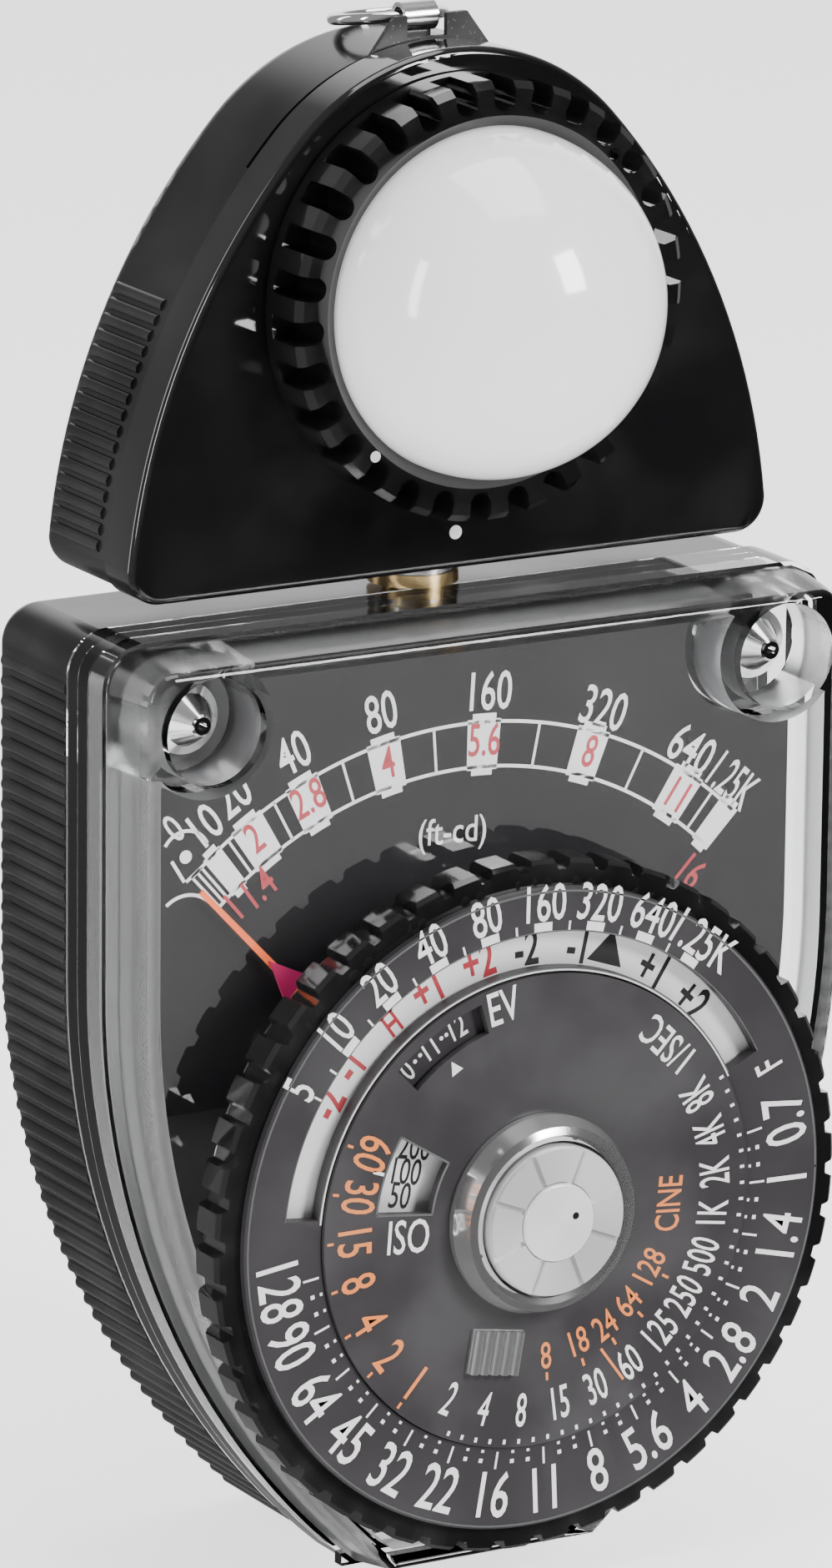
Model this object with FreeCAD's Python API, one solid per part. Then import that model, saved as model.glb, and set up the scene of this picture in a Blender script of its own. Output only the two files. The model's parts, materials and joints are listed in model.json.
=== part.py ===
"""Handheld incident light meter: turning head with a diffusing dome over a clear-fronted moving-coil meter.

Every solid is first built in meter coordinates: X to the right, Y as the depth behind the face of the
calculator dial, and Z as the height above the dial's centre.  write() then moves it into the part frame,
which has its origin on the floor, half way through the depth of the whole meter.
"""

import FreeCAD
import Part
import math
import os

V = FreeCAD.Vector

# ---- driving dimensions, in millimetres ----
DIAL_HEIGHT = 28.2        # height of the dial's centre above the foot
BODY_HALF = 29.3          # half the width of the body
BODY_TOP = 42.0           # top of the body above the dial's centre
BODY_SIDE_R = 60.0        # radius of the body's tapering sides
BODY_BEND = 17.0          # height where the sides begin to taper
BODY_CORNER = 3.2         # radius of the body's top corners
FOOT_HALF = 9.7           # half the width of the lip under the clear cover
COVER_FACE = 5.0          # depth of the clear cover's face
COVER_STEP = 10.3         # depth where the cover's tapered front begins
CASE_FRONT = 15.6         # depth where the cover meets the case
CASE_BACK = 27.2          # depth of the case's back
RIB_PITCH = 1.5           # spacing of the grip ribs on the case
RIB_R = 0.62              # radius of one rib
RIB_HEIGHT = 0.35         # how far a rib stands out

HEAD_BOTTOM = 43.9        # underside of the head above the dial's centre
HEAD_HALF = 25.9          # half the width of the head
HEAD_TOP_R = 17.2         # radius of the head's rounded top
HEAD_TURN = 47.1          # degrees from the top where the long sides begin
HEAD_FACE = 12.4          # depth of the head's front face
HEAD_SEAM = 16.3          # depth of the seam between the head's two shells
HEAD_BACK = 26.6          # depth of the head's back
HEAD_WALL = 1.5
SWIVEL_Y = 18.4           # depth of the head's swivel axis

LENS_Z = 64.0             # height of the dome's centre above the dial's centre
DOME_R = 12.4
DOME_BASE = 8.1           # depth of the dome's widest circle
RING_R = 15.6
RING_FRONT = 7.6
RING_NOTCHES = 30
OPENING_R = 12.9          # light opening in the head's face
BAYONET_ENTRIES = (20.0, 140.0, 260.0)
BAYONET_TURN = 43.0       # degrees from locked to free
BAYONET_LOCKED = tuple(a - BAYONET_TURN for a in BAYONET_ENTRIES)

SLIDE_FRONT = 16.55       # depth of the high slide's front
SLIDE_THICK = 0.45
SLIDE_HALF = 14.2
LUG_Y = 18.25             # depth of the rolled strap tube's axis
LUG_Z = 82.55             # height of the tube's axis
STRAP_R = 3.9             # radius of the strap ring's centre line
STRAP_WIRE = 0.42
STRAP_TILT = 9.0          # degrees that the resting ring slopes down behind its tube
STRAP_X = -0.35

DIAL_R = 23.5             # radius of the outer scale plate
KNURL_R = 25.4
KNURL_TEETH = 50
DISC_R = 17.35            # radius of the shutter disc
POST_R = 4.4
GRIP_LEAN = -9.5          # degrees that the centre disc's grip is turned from upright
BUTTON_TRAVEL = 0.8

PIVOT_Z = 0.7             # height of the needle's pivot above the dial's centre
NEEDLE_Y = 9.75
NEEDLE_REST = 43.4        # degrees left of upright where the needle rests
NEEDLE_TIP = 31.9
SCREW_X = 23.15
SCREW_Z = 36.5

CHASSIS_SCREWS = [(16.0, 12.0), (12.5, -14.0)]
CHASSIS_FRONT = 11.5
CHASSIS_THICK = 1.4
ZERO_Z = -9.0             # height of the zero-adjusting screw
ZERO_R = 1.2
ZERO_HEAD_R = 2.3
ECCENTRIC = 0.6           # how far the zero screw's pin is off its axis
TABLE_THICK = 0.3
TABLE_SINK = 0.05          # how far its face lies below the case's back
CUP_R = 5.0               # clear cups round the cover screws
BASE_FRONT = 4.9          # depth of the plate that carries the dials
BASE_THICK = 0.8
LEVER_Z = 4.5             # height of the brake lever's hinge
LEVER_Y = 7.55
MAGNET_FRONT = 13.1
MAGNET_BACK = 19.1
ARM_PIVOT_Y = 22.1

FIT = 0.05                # radial running clearance
Y_MIDDLE = (DOME_BASE - DOME_R + CASE_BACK) / 2.0


# ---- helpers ----
def cyl(r, y0, y1, x=0.0, z=0.0):
    """A cylinder along the depth, from depth y0 to depth y1."""
    return Part.makeCylinder(r, y1 - y0, V(x, y0, z), V(0, 1, 0))


def tube(r_out, r_in, y0, y1, x=0.0, z=0.0):
    return cyl(r_out, y0, y1, x, z).cut(cyl(r_in, y0 - 1, y1 + 1, x, z))


def post(r, z0, z1, x=0.0, y=0.0):
    """An upright cylinder."""
    return Part.makeCylinder(r, z1 - z0, V(x, y, z0), V(0, 0, 1))


def box(x0, x1, y0, y1, z0, z1):
    return Part.makeBox(x1 - x0, y1 - y0, z1 - z0, V(x0, y0, z0))


def turned(profile, x=0.0, z=0.0):
    """A solid of revolution about the depth axis through (x, z), from (radius, depth) points."""
    points = [V(x + r, y, z) for r, y in profile]
    face = Part.Face(Part.makePolygon(points + points[:1]))
    return face.revolve(V(x, 0, z), V(0, 1, 0), 360)


def plate(points, y0, y1):
    """A flat plate with a polygon outline of (x, z) points."""
    corners = [V(x, y0, z) for x, z in points]
    return Part.Face(Part.makePolygon(corners + corners[:1])).extrude(V(0, y1 - y0, 0))


def polar(r, degrees, z=0.0):
    a = math.radians(degrees)
    return r * math.cos(a), z + r * math.sin(a)


def sector(r_in, r_out, a0, a1, y0, y1, z=0.0):
    """A curved bar between two radii and two angles (degrees from +X towards +Z)."""
    def at(r, a):
        x, h = polar(r, a, z)
        return V(x, y0, h)
    middle = (a0 + a1) / 2.0
    edges = [Part.Arc(at(r_out, a0), at(r_out, middle), at(r_out, a1)).toShape(),
             Part.makeLine(at(r_out, a1), at(r_in, a1)),
             Part.Arc(at(r_in, a1), at(r_in, middle), at(r_in, a0)).toShape(),
             Part.makeLine(at(r_in, a0), at(r_out, a0))]
    return Part.Face(Part.Wire(edges)).extrude(V(0, y1 - y0, 0))


def spun(shape, degrees, x=0.0, z=0.0):
    """A copy turned about the depth axis through (x, z); positive goes from +X towards +Z."""
    copy = shape.copy()
    copy.rotate(V(x, 0, z), V(0, 1, 0), -degrees)
    return copy


def joined(shapes):
    return shapes[0].multiFuse(shapes[1:]).removeSplitter()


def write(name, *solids):
    shape = solids[0] if len(solids) == 1 else Part.makeCompound(list(solids))
    shape = shape.copy()
    shape.translate(V(0, -Y_MIDDLE, DIAL_HEIGHT))
    shape.exportStep(os.path.join("parts", name + ".step"))


# ---- outlines ----
def mirrored_wire(path, y):
    """A closed wire from a right-hand path of ('line', p) and ('arc', middle, p) steps and its mirror."""
    edges = []
    for side in (1, -1):
        here = path[0][1]
        for step in path[1:]:
            end = step[-1]
            a = V(side * here[0], y, here[1])
            b = V(side * end[0], y, end[1])
            if step[0] == "arc":
                m = V(side * step[1][0], y, step[1][1])
                edges.append(Part.Arc(a, m, b).toShape())
            else:
                edges.append(Part.makeLine(a, b))
            here = end
    first, last = path[0][1], path[-1][-1]
    edges.append(Part.makeLine(V(-first[0], y, first[1]), V(first[0], y, first[1])))
    if last[0] > 0:
        edges.append(Part.makeLine(V(-last[0], y, last[1]), V(last[0], y, last[1])))
    return Part.Wire(Part.__sortEdges__(edges))


def body_wire(inset, y):
    """The body's outline: flat foot, long tapering sides, straight flanks and rounded top corners."""
    centre_x = BODY_HALF - BODY_SIDE_R
    r = BODY_SIDE_R - inset
    low = inset - DIAL_HEIGHT
    low_x = centre_x + math.sqrt(r * r - (low - BODY_BEND) ** 2)
    half_angle = math.atan2(BODY_BEND - low, low_x - centre_x) / 2.0
    middle = (centre_x + r * math.cos(half_angle), BODY_BEND - r * math.sin(half_angle))
    side, top = BODY_HALF - inset, BODY_TOP - inset
    corner = max(BODY_CORNER - inset, 0.8)
    bulge = corner * (1 - math.sqrt(0.5))
    path = [("start", (low_x, low)),
            ("arc", middle, (side, BODY_BEND)),
            ("line", (side, top - corner)),
            ("arc", (side - bulge, top - bulge), (side - corner, top))]
    return mirrored_wire(path, y)


def body_slab(inset, y0, y1):
    return Part.Face(body_wire(inset, y0)).extrude(V(0, y1 - y0, 0))


def head_side():
    """Start, end, centre and radius of the head's long side arc, tangent to the rounded top."""
    a = math.radians(HEAD_TURN)
    nx, nz = math.sin(a), math.cos(a)
    px, pz = HEAD_TOP_R * nx, LENS_Z + HEAD_TOP_R * nz
    ex, ez = HEAD_HALF, HEAD_BOTTOM + 2.5
    dx, dz = ex - px, ez - pz
    r = -(dx * dx + dz * dz) / (2.0 * (dx * nx + dz * nz))
    cx, cz = px - r * nx, pz - r * nz
    return math.pi / 2 - a, math.atan2(ez - cz, ex - cx), cx, cz, r


def head_wire(inset, y):
    """The head's outline: round top concentric with the dome, long curved sides, flat bottom."""
    a0, a1, cx, cz, r = head_side()
    corner = 2.5

    def on_side(angle):
        return cx + (r - inset) * math.cos(angle), cz + (r - inset) * math.sin(angle)

    end_x, end_z = on_side(a1)
    bottom = HEAD_BOTTOM + inset
    drop = end_z - bottom
    corner_point = (end_x - drop * 0.29, bottom + drop * 0.29)
    top_angle = math.pi / 2 - (math.pi / 2 - a0) / 2.0
    top_r = HEAD_TOP_R - inset
    top_middle = (top_r * math.cos(top_angle), LENS_Z + top_r * math.sin(top_angle))
    path = [("start", (end_x - corner, bottom)),
            ("arc", corner_point, (end_x, end_z)),
            ("arc", on_side((a0 + a1) / 2.0), on_side(a0)),
            ("arc", top_middle, (0.0, LENS_Z + top_r))]
    return mirrored_wire(path, y)


def head_slab(inset, y0, y1):
    return Part.Face(head_wire(inset, y0)).extrude(V(0, y1 - y0, 0))


def outer_edges(shape, y):
    """Edges of the shape that lie wholly at one depth."""
    return [e for e in shape.Edges if abs(e.BoundBox.YMin - y) < 1e-4 and abs(e.BoundBox.YMax - y) < 1e-4]


# ---- body ----
def case_rib_places():
    """Centres of the grip ribs down one side of the case, a rib's pitch apart along the outline."""
    places = []
    z = BODY_TOP - 4.2
    while z > BODY_BEND:
        places.append((BODY_HALF - RIB_R, z))
        z -= RIB_PITCH
    r = BODY_SIDE_R - RIB_R
    angle = (BODY_BEND - z) / BODY_SIDE_R
    while True:
        x = BODY_HALF - BODY_SIDE_R + r * math.cos(angle)
        z = BODY_BEND - r * math.sin(angle)
        if z < -DIAL_HEIGHT + 1.6:
            return places
        places.append((x, z))
        angle += RIB_PITCH / BODY_SIDE_R


def body_case():
    wall = 1.9
    shell = body_slab(RIB_HEIGHT, CASE_FRONT, CASE_BACK)
    shell = shell.makeFillet(1.6, outer_edges(shell, CASE_BACK))
    cavity = body_slab(RIB_HEIGHT + wall, CASE_FRONT - 1, CASE_BACK - 1.6)
    shell = shell.cut(cavity)
    ribs = [cyl(RIB_R, CASE_FRONT + 0.4, CASE_BACK - 1.7, s * x, z)
            for x, z in case_rib_places() for s in (1, -1)]
    bosses = [cyl(2.6, 12.0, CASE_BACK - 1.5, s * SCREW_X, SCREW_Z) for s in (1, -1)]
    bosses += [cyl(2.0, 12.9, CASE_BACK - 1.5, s * x, z) for x, z in CHASSIS_SCREWS for s in (1, -1)]
    shell = shell.multiFuse(ribs + bosses)
    holes = [cyl(1.0, 11.0, 21.0, s * SCREW_X, SCREW_Z) for s in (1, -1)]
    holes += [cyl(0.7, 12.0, 18.0, s * x, z) for x, z in CHASSIS_SCREWS for s in (1, -1)]
    holes.append(cyl(ZERO_R + FIT, 20.0, CASE_BACK + 1, 0, ZERO_Z))
    holes.append(cyl(ZERO_HEAD_R + 0.1, CASE_BACK - 0.9, CASE_BACK + 1, 0, ZERO_Z))
    holes.append(post(2.2, BODY_TOP - 5, BODY_TOP + 1, 0, SWIVEL_Y))
    return shell.cut(Part.makeCompound(holes)).cut(table_blank(0.1, 0.0))


def clear_cover():
    face_thick = 1.6
    wall = 1.7
    rear = body_slab(0.0, COVER_STEP, CASE_FRONT)
    front = Part.makeLoft([body_wire(0.3, COVER_STEP + 0.01), body_wire(1.1, COVER_FACE)], True, True)
    front = front.makeFillet(0.7, outer_edges(front, COVER_FACE))
    shell = rear.fuse(front)
    cavity = body_slab(wall + 0.6, COVER_FACE + face_thick, CASE_FRONT + 1)
    shell = shell.cut(cavity)
    cups = [cyl(CUP_R, COVER_FACE + 0.6, 11.9, s * SCREW_X, SCREW_Z) for s in (1, -1)]
    cups = Part.makeCompound(cups).common(body_slab(1.2, COVER_FACE, CASE_FRONT))
    lip = box(-FOOT_HALF, FOOT_HALF, COVER_STEP, COVER_STEP + 1.0, -DIAL_HEIGHT, -25.6)
    shell = shell.multiFuse([cups, lip])
    cuts = [cyl(23.4, COVER_FACE - 1, COVER_FACE + face_thick + 1)]
    for s in (1, -1):
        cuts.append(cyl(3.9, COVER_FACE - 1, 10.4, s * SCREW_X, SCREW_Z))
        cuts.append(cyl(1.1, 10.0, 13.0, s * SCREW_X, SCREW_Z))
    return shell.cut(Part.makeCompound(cuts)).removeSplitter()


def scale_plate():
    sheet = body_slab(2.6, 10.9, CHASSIS_FRONT).common(box(-40, 40, 0, 20, 7.6, 60))
    cups = [cyl(CUP_R + 0.3, 10, 12, s * SCREW_X, SCREW_Z) for s in (1, -1)]
    screws = [cyl(0.75, 10, 12, s * x, z) for x, z in CHASSIS_SCREWS for s in (1, -1)]
    return sheet.cut(Part.makeCompound(cups + screws + [cyl(8.2, 10, 12, 0, PIVOT_Z)]))


def movement_chassis():
    back = CHASSIS_FRONT + CHASSIS_THICK
    sheet = body_slab(2.6, CHASSIS_FRONT, back)
    holes = [cyl(CUP_R + 0.3, 10, 14, s * SCREW_X, SCREW_Z) for s in (1, -1)]
    holes += [cyl(0.75, 10, 14, s * x, z) for x, z in CHASSIS_SCREWS for s in (1, -1)]
    holes.append(cyl(7.3, 10, 14, 0, PIVOT_Z))
    return sheet.cut(Part.makeCompound(holes))


def chassis_screw(x, z):
    """A pan head screw through the chassis into its boss; the upper pair clamp the scale plate too."""
    head_y = 10.9 if z > 7.6 else CHASSIS_FRONT
    head = cyl(1.4, head_y - 0.9, head_y, x, z)
    slot = box(x - 0.2, x + 0.2, head_y - 1.0, head_y - 0.5, z - 2, z + 2)
    return head.cut(slot).fuse(cyl(0.68, head_y - 0.1, 17.5, x, z))


def cover_screw(x, z):
    """A nickel screw with a long conical head that has a small tool hole in its tip."""
    cone = turned([(0.0, 10.4), (2.6, 10.4), (2.6, 9.7), (1.9, 9.2), (0.8, 7.25), (0.65, 7.1), (0.0, 7.1)], x, z)
    tip = cyl(0.33, 6.9, 8.1, x, z)
    return cone.cut(tip).fuse(cyl(0.98, 10.3, 20.6, x, z))


# ---- moving-coil movement ----
def meter_magnet():
    ring = tube(12.4, 6.8, MAGNET_FRONT, MAGNET_BACK, 0, PIVOT_Z)
    gap = box(-13, -9.6, 12, 20, PIVOT_Z - 0.5, PIVOT_Z + 0.5)
    screws = [cyl(0.6, MAGNET_BACK - 3, MAGNET_BACK + 1, s * 9.8, PIVOT_Z + 3) for s in (1, -1)]
    return ring.cut(Part.makeCompound([gap] + screws))


def iron_core():
    core = cyl(4.3, MAGNET_FRONT, MAGNET_BACK, 0, PIVOT_Z)
    bar = box(-1.2, 1.2, 14.0, 18.0, PIVOT_Z - 6.68, PIVOT_Z - 3.5)
    return core.fuse(bar)


def moving_coil():
    """The wound frame that turns in the gap between the core and the magnet."""
    outer = box(-6.2, 6.2, 12.2, 20.0, PIVOT_Z - 1.5, PIVOT_Z + 1.5)
    inner = box(-4.75, 4.75, 12.9, 19.3, PIVOT_Z - 2, PIVOT_Z + 2)
    return spun(outer.cut(inner), NEEDLE_REST, 0, PIVOT_Z)


def pivot_staffs():
    front = cyl(0.35, 9.35, 12.2, 0, PIVOT_Z)
    rear = cyl(0.35, 20.0, 21.35, 0, PIVOT_Z)
    return [front, rear]


def needle_blade():
    """The wide root of the pointer, with the balance tail on the other side of the hub."""
    root = [(-0.45, 0.9), (-1.1, 21.3), (0.0, 24.1), (1.1, 21.3), (0.45, 0.9)]
    blade = plate([(x, z + PIVOT_Z) for x, z in root], NEEDLE_Y, NEEDLE_Y + 0.2)
    tail = plate([(-0.5, PIVOT_Z - 5.2), (0.5, PIVOT_Z - 5.2), (0.5, PIVOT_Z - 0.8), (-0.5, PIVOT_Z - 0.8)],
                 NEEDLE_Y, NEEDLE_Y + 0.2)
    hub = tube(1.15, 0.35, NEEDLE_Y, NEEDLE_Y + 0.8, 0, PIVOT_Z)
    return spun(joined([blade, tail, hub]), NEEDLE_REST, 0, PIVOT_Z)


def needle_pointer():
    tip = plate([(-0.27, 22.6 + PIVOT_Z), (-0.2, NEEDLE_TIP + PIVOT_Z), (0.2, NEEDLE_TIP + PIVOT_Z),
                 (0.27, 22.6 + PIVOT_Z)], NEEDLE_Y + 0.2, NEEDLE_Y + 0.4)
    return spun(tip, NEEDLE_REST, 0, PIVOT_Z)


def balance_weight():
    """The small counterweight on the pointer's tail."""
    weight = cyl(0.75, NEEDLE_Y + 0.2, NEEDLE_Y + 0.9, 0, PIVOT_Z - 4.4)
    return spun(weight, NEEDLE_REST, 0, PIVOT_Z)


def hairspring():
    """A flat spiral of half-circle turns between the coil's rear staff and the zero arm."""
    strip = []
    r, pitch, width = 0.9, 0.36, 0.1
    side = 1
    centre = 0.0
    for _ in range(18):
        a0, a1 = (0, 180) if side > 0 else (180, 360)
        band = sector(r - width / 2, r + width / 2, a0, a1, 20.35, 20.75, PIVOT_Z)
        band.translate(V(centre, 0, 0))
        strip.append(band)
        centre += side * pitch / 4.0
        r += pitch / 4.0
        side = -side
    return joined(strip)


def front_bridge():
    bar = plate([(-9.4, PIVOT_Z - 1.5), (9.4, PIVOT_Z - 1.5), (9.4, PIVOT_Z + 1.5), (-9.4, PIVOT_Z + 1.5)], 8.9, 9.45)
    legs = [cyl(1.2, 9.4, CHASSIS_FRONT, s * 8.2, PIVOT_Z) for s in (1, -1)]
    return joined([bar] + legs).cut(cyl(0.8, 8, 10, 0, PIVOT_Z))


def rear_bridge():
    bar = plate([(-11.3, PIVOT_Z - 0.4), (-11.3, PIVOT_Z + 4.6), (11.3, PIVOT_Z + 4.6), (11.3, PIVOT_Z - 0.4),
                 (1.8, PIVOT_Z - 1.8), (-1.8, PIVOT_Z - 1.8)], 21.0, 21.8)
    legs = [cyl(1.3, MAGNET_BACK, 21.0, s * 9.8, PIVOT_Z + 3) for s in (1, -1)]
    return joined([bar] + legs).cut(cyl(0.8, 20, 23, 0, PIVOT_Z))


def jewel_screws():
    """The two adjustable bearings: a cup in the end of each holds the point of a staff."""
    front = cyl(0.78, 8.85, 9.6, 0, PIVOT_Z).cut(cyl(0.38, 9.3, 10, 0, PIVOT_Z))
    rear = cyl(0.78, 20.9, ARM_PIVOT_Y + 0.9, 0, PIVOT_Z).cut(cyl(0.38, 20, 21.4, 0, PIVOT_Z))
    return [front, rear]


def zero_arm():
    """The arm that turns the hairspring's outer end, forked round the zero screw's eccentric pin."""
    reach = PIVOT_Z - ZERO_Z
    body = plate([(-1.3, PIVOT_Z), (1.3, PIVOT_Z), (1.2, ZERO_Z - 1.6), (-1.2, ZERO_Z - 1.6)],
                 ARM_PIVOT_Y, ARM_PIVOT_Y + 0.5)
    eye = cyl(1.6, ARM_PIVOT_Y, ARM_PIVOT_Y + 0.5, 0, PIVOT_Z)
    slot = box(-0.53, 0.53, 20, 24, PIVOT_Z - reach - 2.0, PIVOT_Z - reach + 1.2)
    return joined([body, eye]).cut(cyl(0.78 + FIT, 20, 24, 0, PIVOT_Z)).cut(slot)


def zero_screw():
    """The slotted screw in the back with an eccentric pin at its inner end."""
    head = cyl(ZERO_HEAD_R, CASE_BACK - 0.85, CASE_BACK - 0.1, 0, ZERO_Z)
    head = head.cut(box(-3, 3, CASE_BACK - 0.5, CASE_BACK + 1, ZERO_Z - 0.3, ZERO_Z + 0.3))
    shank = cyl(ZERO_R, ARM_PIVOT_Y + 0.8, CASE_BACK - 0.8, 0, ZERO_Z)
    pin = cyl(0.4, ARM_PIVOT_Y - 0.1, ARM_PIVOT_Y + 0.9, 0, ZERO_Z + ECCENTRIC)
    return joined([head, shank, pin])


# ---- dials and button ----
def dial_base():
    """The fixed plate in the cover's round opening that carries the dials, with lugs for the brake lever."""
    back = BASE_FRONT + BASE_THICK
    disc = tube(23.2, POST_R - 0.6, BASE_FRONT, back)
    lugs = [box(s * 2.4 - 0.4, s * 2.4 + 0.4, back - 0.1, LEVER_Y + 0.9, LEVER_Z - 1, LEVER_Z + 1) for s in (1, -1)]
    pin_hole = Part.makeCylinder(0.4, 8, V(-4, LEVER_Y, LEVER_Z), V(1, 0, 0))
    pillar_holes = [cyl(0.8, 4, 6, x, z) for x, z in pillar_places()]
    return joined([disc] + lugs).cut(Part.makeCompound([pin_hole] + pillar_holes))


def pillar_places():
    return [polar(18.5, a) for a in (200, 270, 340)]


def dial_pillar(x, z):
    """A shouldered pillar between the chassis and the dial plate."""
    return cyl(1.5, BASE_FRONT + BASE_THICK, CHASSIS_FRONT, x, z).fuse(cyl(0.78, BASE_FRONT, 6.0, x, z))


def dial_post():
    sleeve = tube(POST_R, 2.3, -0.65, 4.4)
    end = tube(POST_R, 1.1, 4.35, BASE_FRONT)
    spigot = tube(POST_R - 0.62, 1.1, BASE_FRONT, BASE_FRONT + BASE_THICK)
    return joined([sleeve, end, spigot])


def index_disc():
    """The fixed disc under the dials, with the index band and the film speeds."""
    return tube(20.9, POST_R, 1.3, 1.9)


def dial_washer():
    """The thin spring washer that holds the dials up against the collar."""
    return tube(7.0, POST_R + FIT, 3.95, 4.85)


def knurled_ring():
    """The black dish that the fingers turn: toothed rim, floor and hub bore."""
    edges = []
    step = 360.0 / KNURL_TEETH
    root = KNURL_R - 0.75
    y0, y1 = 0.75, 3.9
    for i in range(KNURL_TEETH):
        a = i * step
        spans = [(KNURL_R, a, a + 0.56 * step), (root, a + 0.66 * step, a + 0.9 * step)]
        for (r, b0, b1), (next_r, c0) in zip(spans, [(root, spans[1][1]), (KNURL_R, a + step)]):
            p, m, q = (V(*polar_at(r, b, y0)) for b in (b0, (b0 + b1) / 2, b1))
            edges.append(Part.Arc(p, m, q).toShape())
            edges.append(Part.makeLine(q, V(*polar_at(next_r, c0, y0))))
    gear = Part.Face(Part.Wire(edges)).extrude(V(0, y1 - y0, 0))
    envelope = turned([(POST_R + FIT, 3.1), (21.3, 3.1), (21.3, 1.15), (DIAL_R - 0.2, 1.15), (DIAL_R - 0.2, y0),
                       (KNURL_R - 0.3, y0), (KNURL_R, y0 + 0.3), (KNURL_R, y1 - 0.3), (KNURL_R - 0.3, y1),
                       (POST_R + FIT, y1)])
    return gear.common(envelope)


def polar_at(r, degrees, y):
    x, z = polar(r, degrees)
    return x, y, z


def outer_scale_plate():
    """The grey ring with the aperture and light scales, its index window and its sunk inner ledge."""
    ring = turned([(14.2, 0.55), (14.2, 0.95), (21.2, 0.95), (21.2, 1.13), (DIAL_R - 0.25, 1.13), (DIAL_R - 0.25, 0.7),
                   (DIAL_R, 0.7), (DIAL_R, 0.12), (DIAL_R - 0.15, 0.0), (DISC_R + 0.1, 0.0), (DISC_R + 0.1, 0.55)])
    window = sector(17.75, 20.35, 27.0, 174.0, -1, 2)
    return ring.cut(window)


def shutter_disc():
    """The grey centre disc with windows for the film speed, the exposure value and the grip."""
    disc = tube(DISC_R, POST_R + FIT, -0.3, 0.3)
    windows = [sector(8.8, 13.2, 148, 172.5, -1, 1), sector(14.35, 16.6, 107, 134, -1, 1)]
    return disc.cut(Part.makeCompound(windows))


def iso_grip():
    """A chrome block with five ribs, riveted to the centre disc and leaning against the radius."""
    x, z = polar(10.4, -109.5)
    block = box(x - 2.1, x + 2.1, -0.55, -0.3, z - 1.65, z + 1.65)
    ribs = [post(0.37, z - 1.6, z + 1.6, x + k * 0.83, -0.68) for k in (-2, -1, 0, 1, 2)]
    return spun(joined([block] + ribs), GRIP_LEAN, x, z)


def button_bezel():
    """The polished collar round the measuring button."""
    return turned([(5.75, -2.35), (6.2, -2.5), (6.75, -2.3), (7.3, -0.9), (7.3, -0.35), (POST_R, -0.35),
                   (POST_R, -0.65), (5.75, -0.65)])


def button_stem():
    """The plunger: guided in the hollow post, with a thin rod that reaches the brake lever."""
    guide = cyl(2.3 - FIT, -1.9, 1.2)
    rod_r = 1.1 - FIT
    end = LEVER_Y - 0.36
    rod = turned([(0.0, 1.1), (rod_r, 1.1), (rod_r, end - 0.6), (rod_r - 0.6, end), (0.0, end)])
    return joined([guide, rod]).cut(cyl(0.8, -3, 0.4))


def stem_clip():
    clip = tube(2.0, 1.1 - FIT, BASE_FRONT + BASE_THICK + 0.05, BASE_FRONT + BASE_THICK + 0.4)
    return clip.cut(box(-0.8, 0.8, 5, 7, -3, 0))


def button_face():
    """The satin disc with eight raised pads."""
    disc = cyl(5.5, -2.75, -1.95)
    pads = tube(5.35, 2.95, -3.05, -2.7)
    grooves = [spun(box(0, 7, -3.2, -2.75, -0.22, 0.22), 22.5 + 45 * k) for k in range(8)]
    stud = cyl(0.78, -2.0, 0.2)
    return joined([disc, pads.cut(Part.makeCompound(grooves)), stud])


def button_cap():
    cap = cyl(2.85, -3.3, -2.75)
    cap = cap.makeFillet(0.2, outer_edges(cap, -3.3))
    return cap.cut(cyl(0.27, -3.4, -3.1, 1.3, 0.35))


def button_dot():
    return cyl(0.27, -3.28, -3.1, 1.3, 0.35)


def button_spring():
    """Coil spring between the plunger's shoulder and the end of the post."""
    turns, wire_r, coil_r, y0, y1 = 4.0, 0.16, 1.72, 1.4, 4.15
    helix = Part.makeHelix((y1 - y0) / turns, y1 - y0, coil_r)
    section = Part.Wire(Part.makeCircle(wire_r, V(coil_r, 0, 0), V(0, 1, 0)))
    spring = Part.Wire(helix).makePipeShell([section], True, True)
    spring.rotate(V(0, 0, 0), V(1, 0, 0), -90)
    spring.translate(V(0, y0, 0))
    return spring


def brake_lever():
    """A rocker behind the dial plate: the plunger pushes its lower arm, its arc clamps the needle."""
    stem = plate([(-1.3, -1.6), (1.3, -1.6), (1.3, 10.4), (-1.3, 10.4)], LEVER_Y - 0.25, LEVER_Y + 0.25)
    barrel = Part.makeCylinder(0.8, 3.6, V(-1.8, LEVER_Y, LEVER_Z), V(1, 0, 0))
    foot = box(-1.3, 1.3, LEVER_Y, 9.0, 9.9, 10.4)
    arc = sector(9.9, 11.0, 42, 138, 8.95, 9.45)
    bore = Part.makeCylinder(0.4 + FIT, 8, V(-4, LEVER_Y, LEVER_Z), V(1, 0, 0))
    return joined([stem, barrel, foot, arc]).cut(bore)


def brake_pin():
    return Part.makeCylinder(0.4, 5.6, V(-2.8, LEVER_Y, LEVER_Z), V(1, 0, 0))


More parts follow.
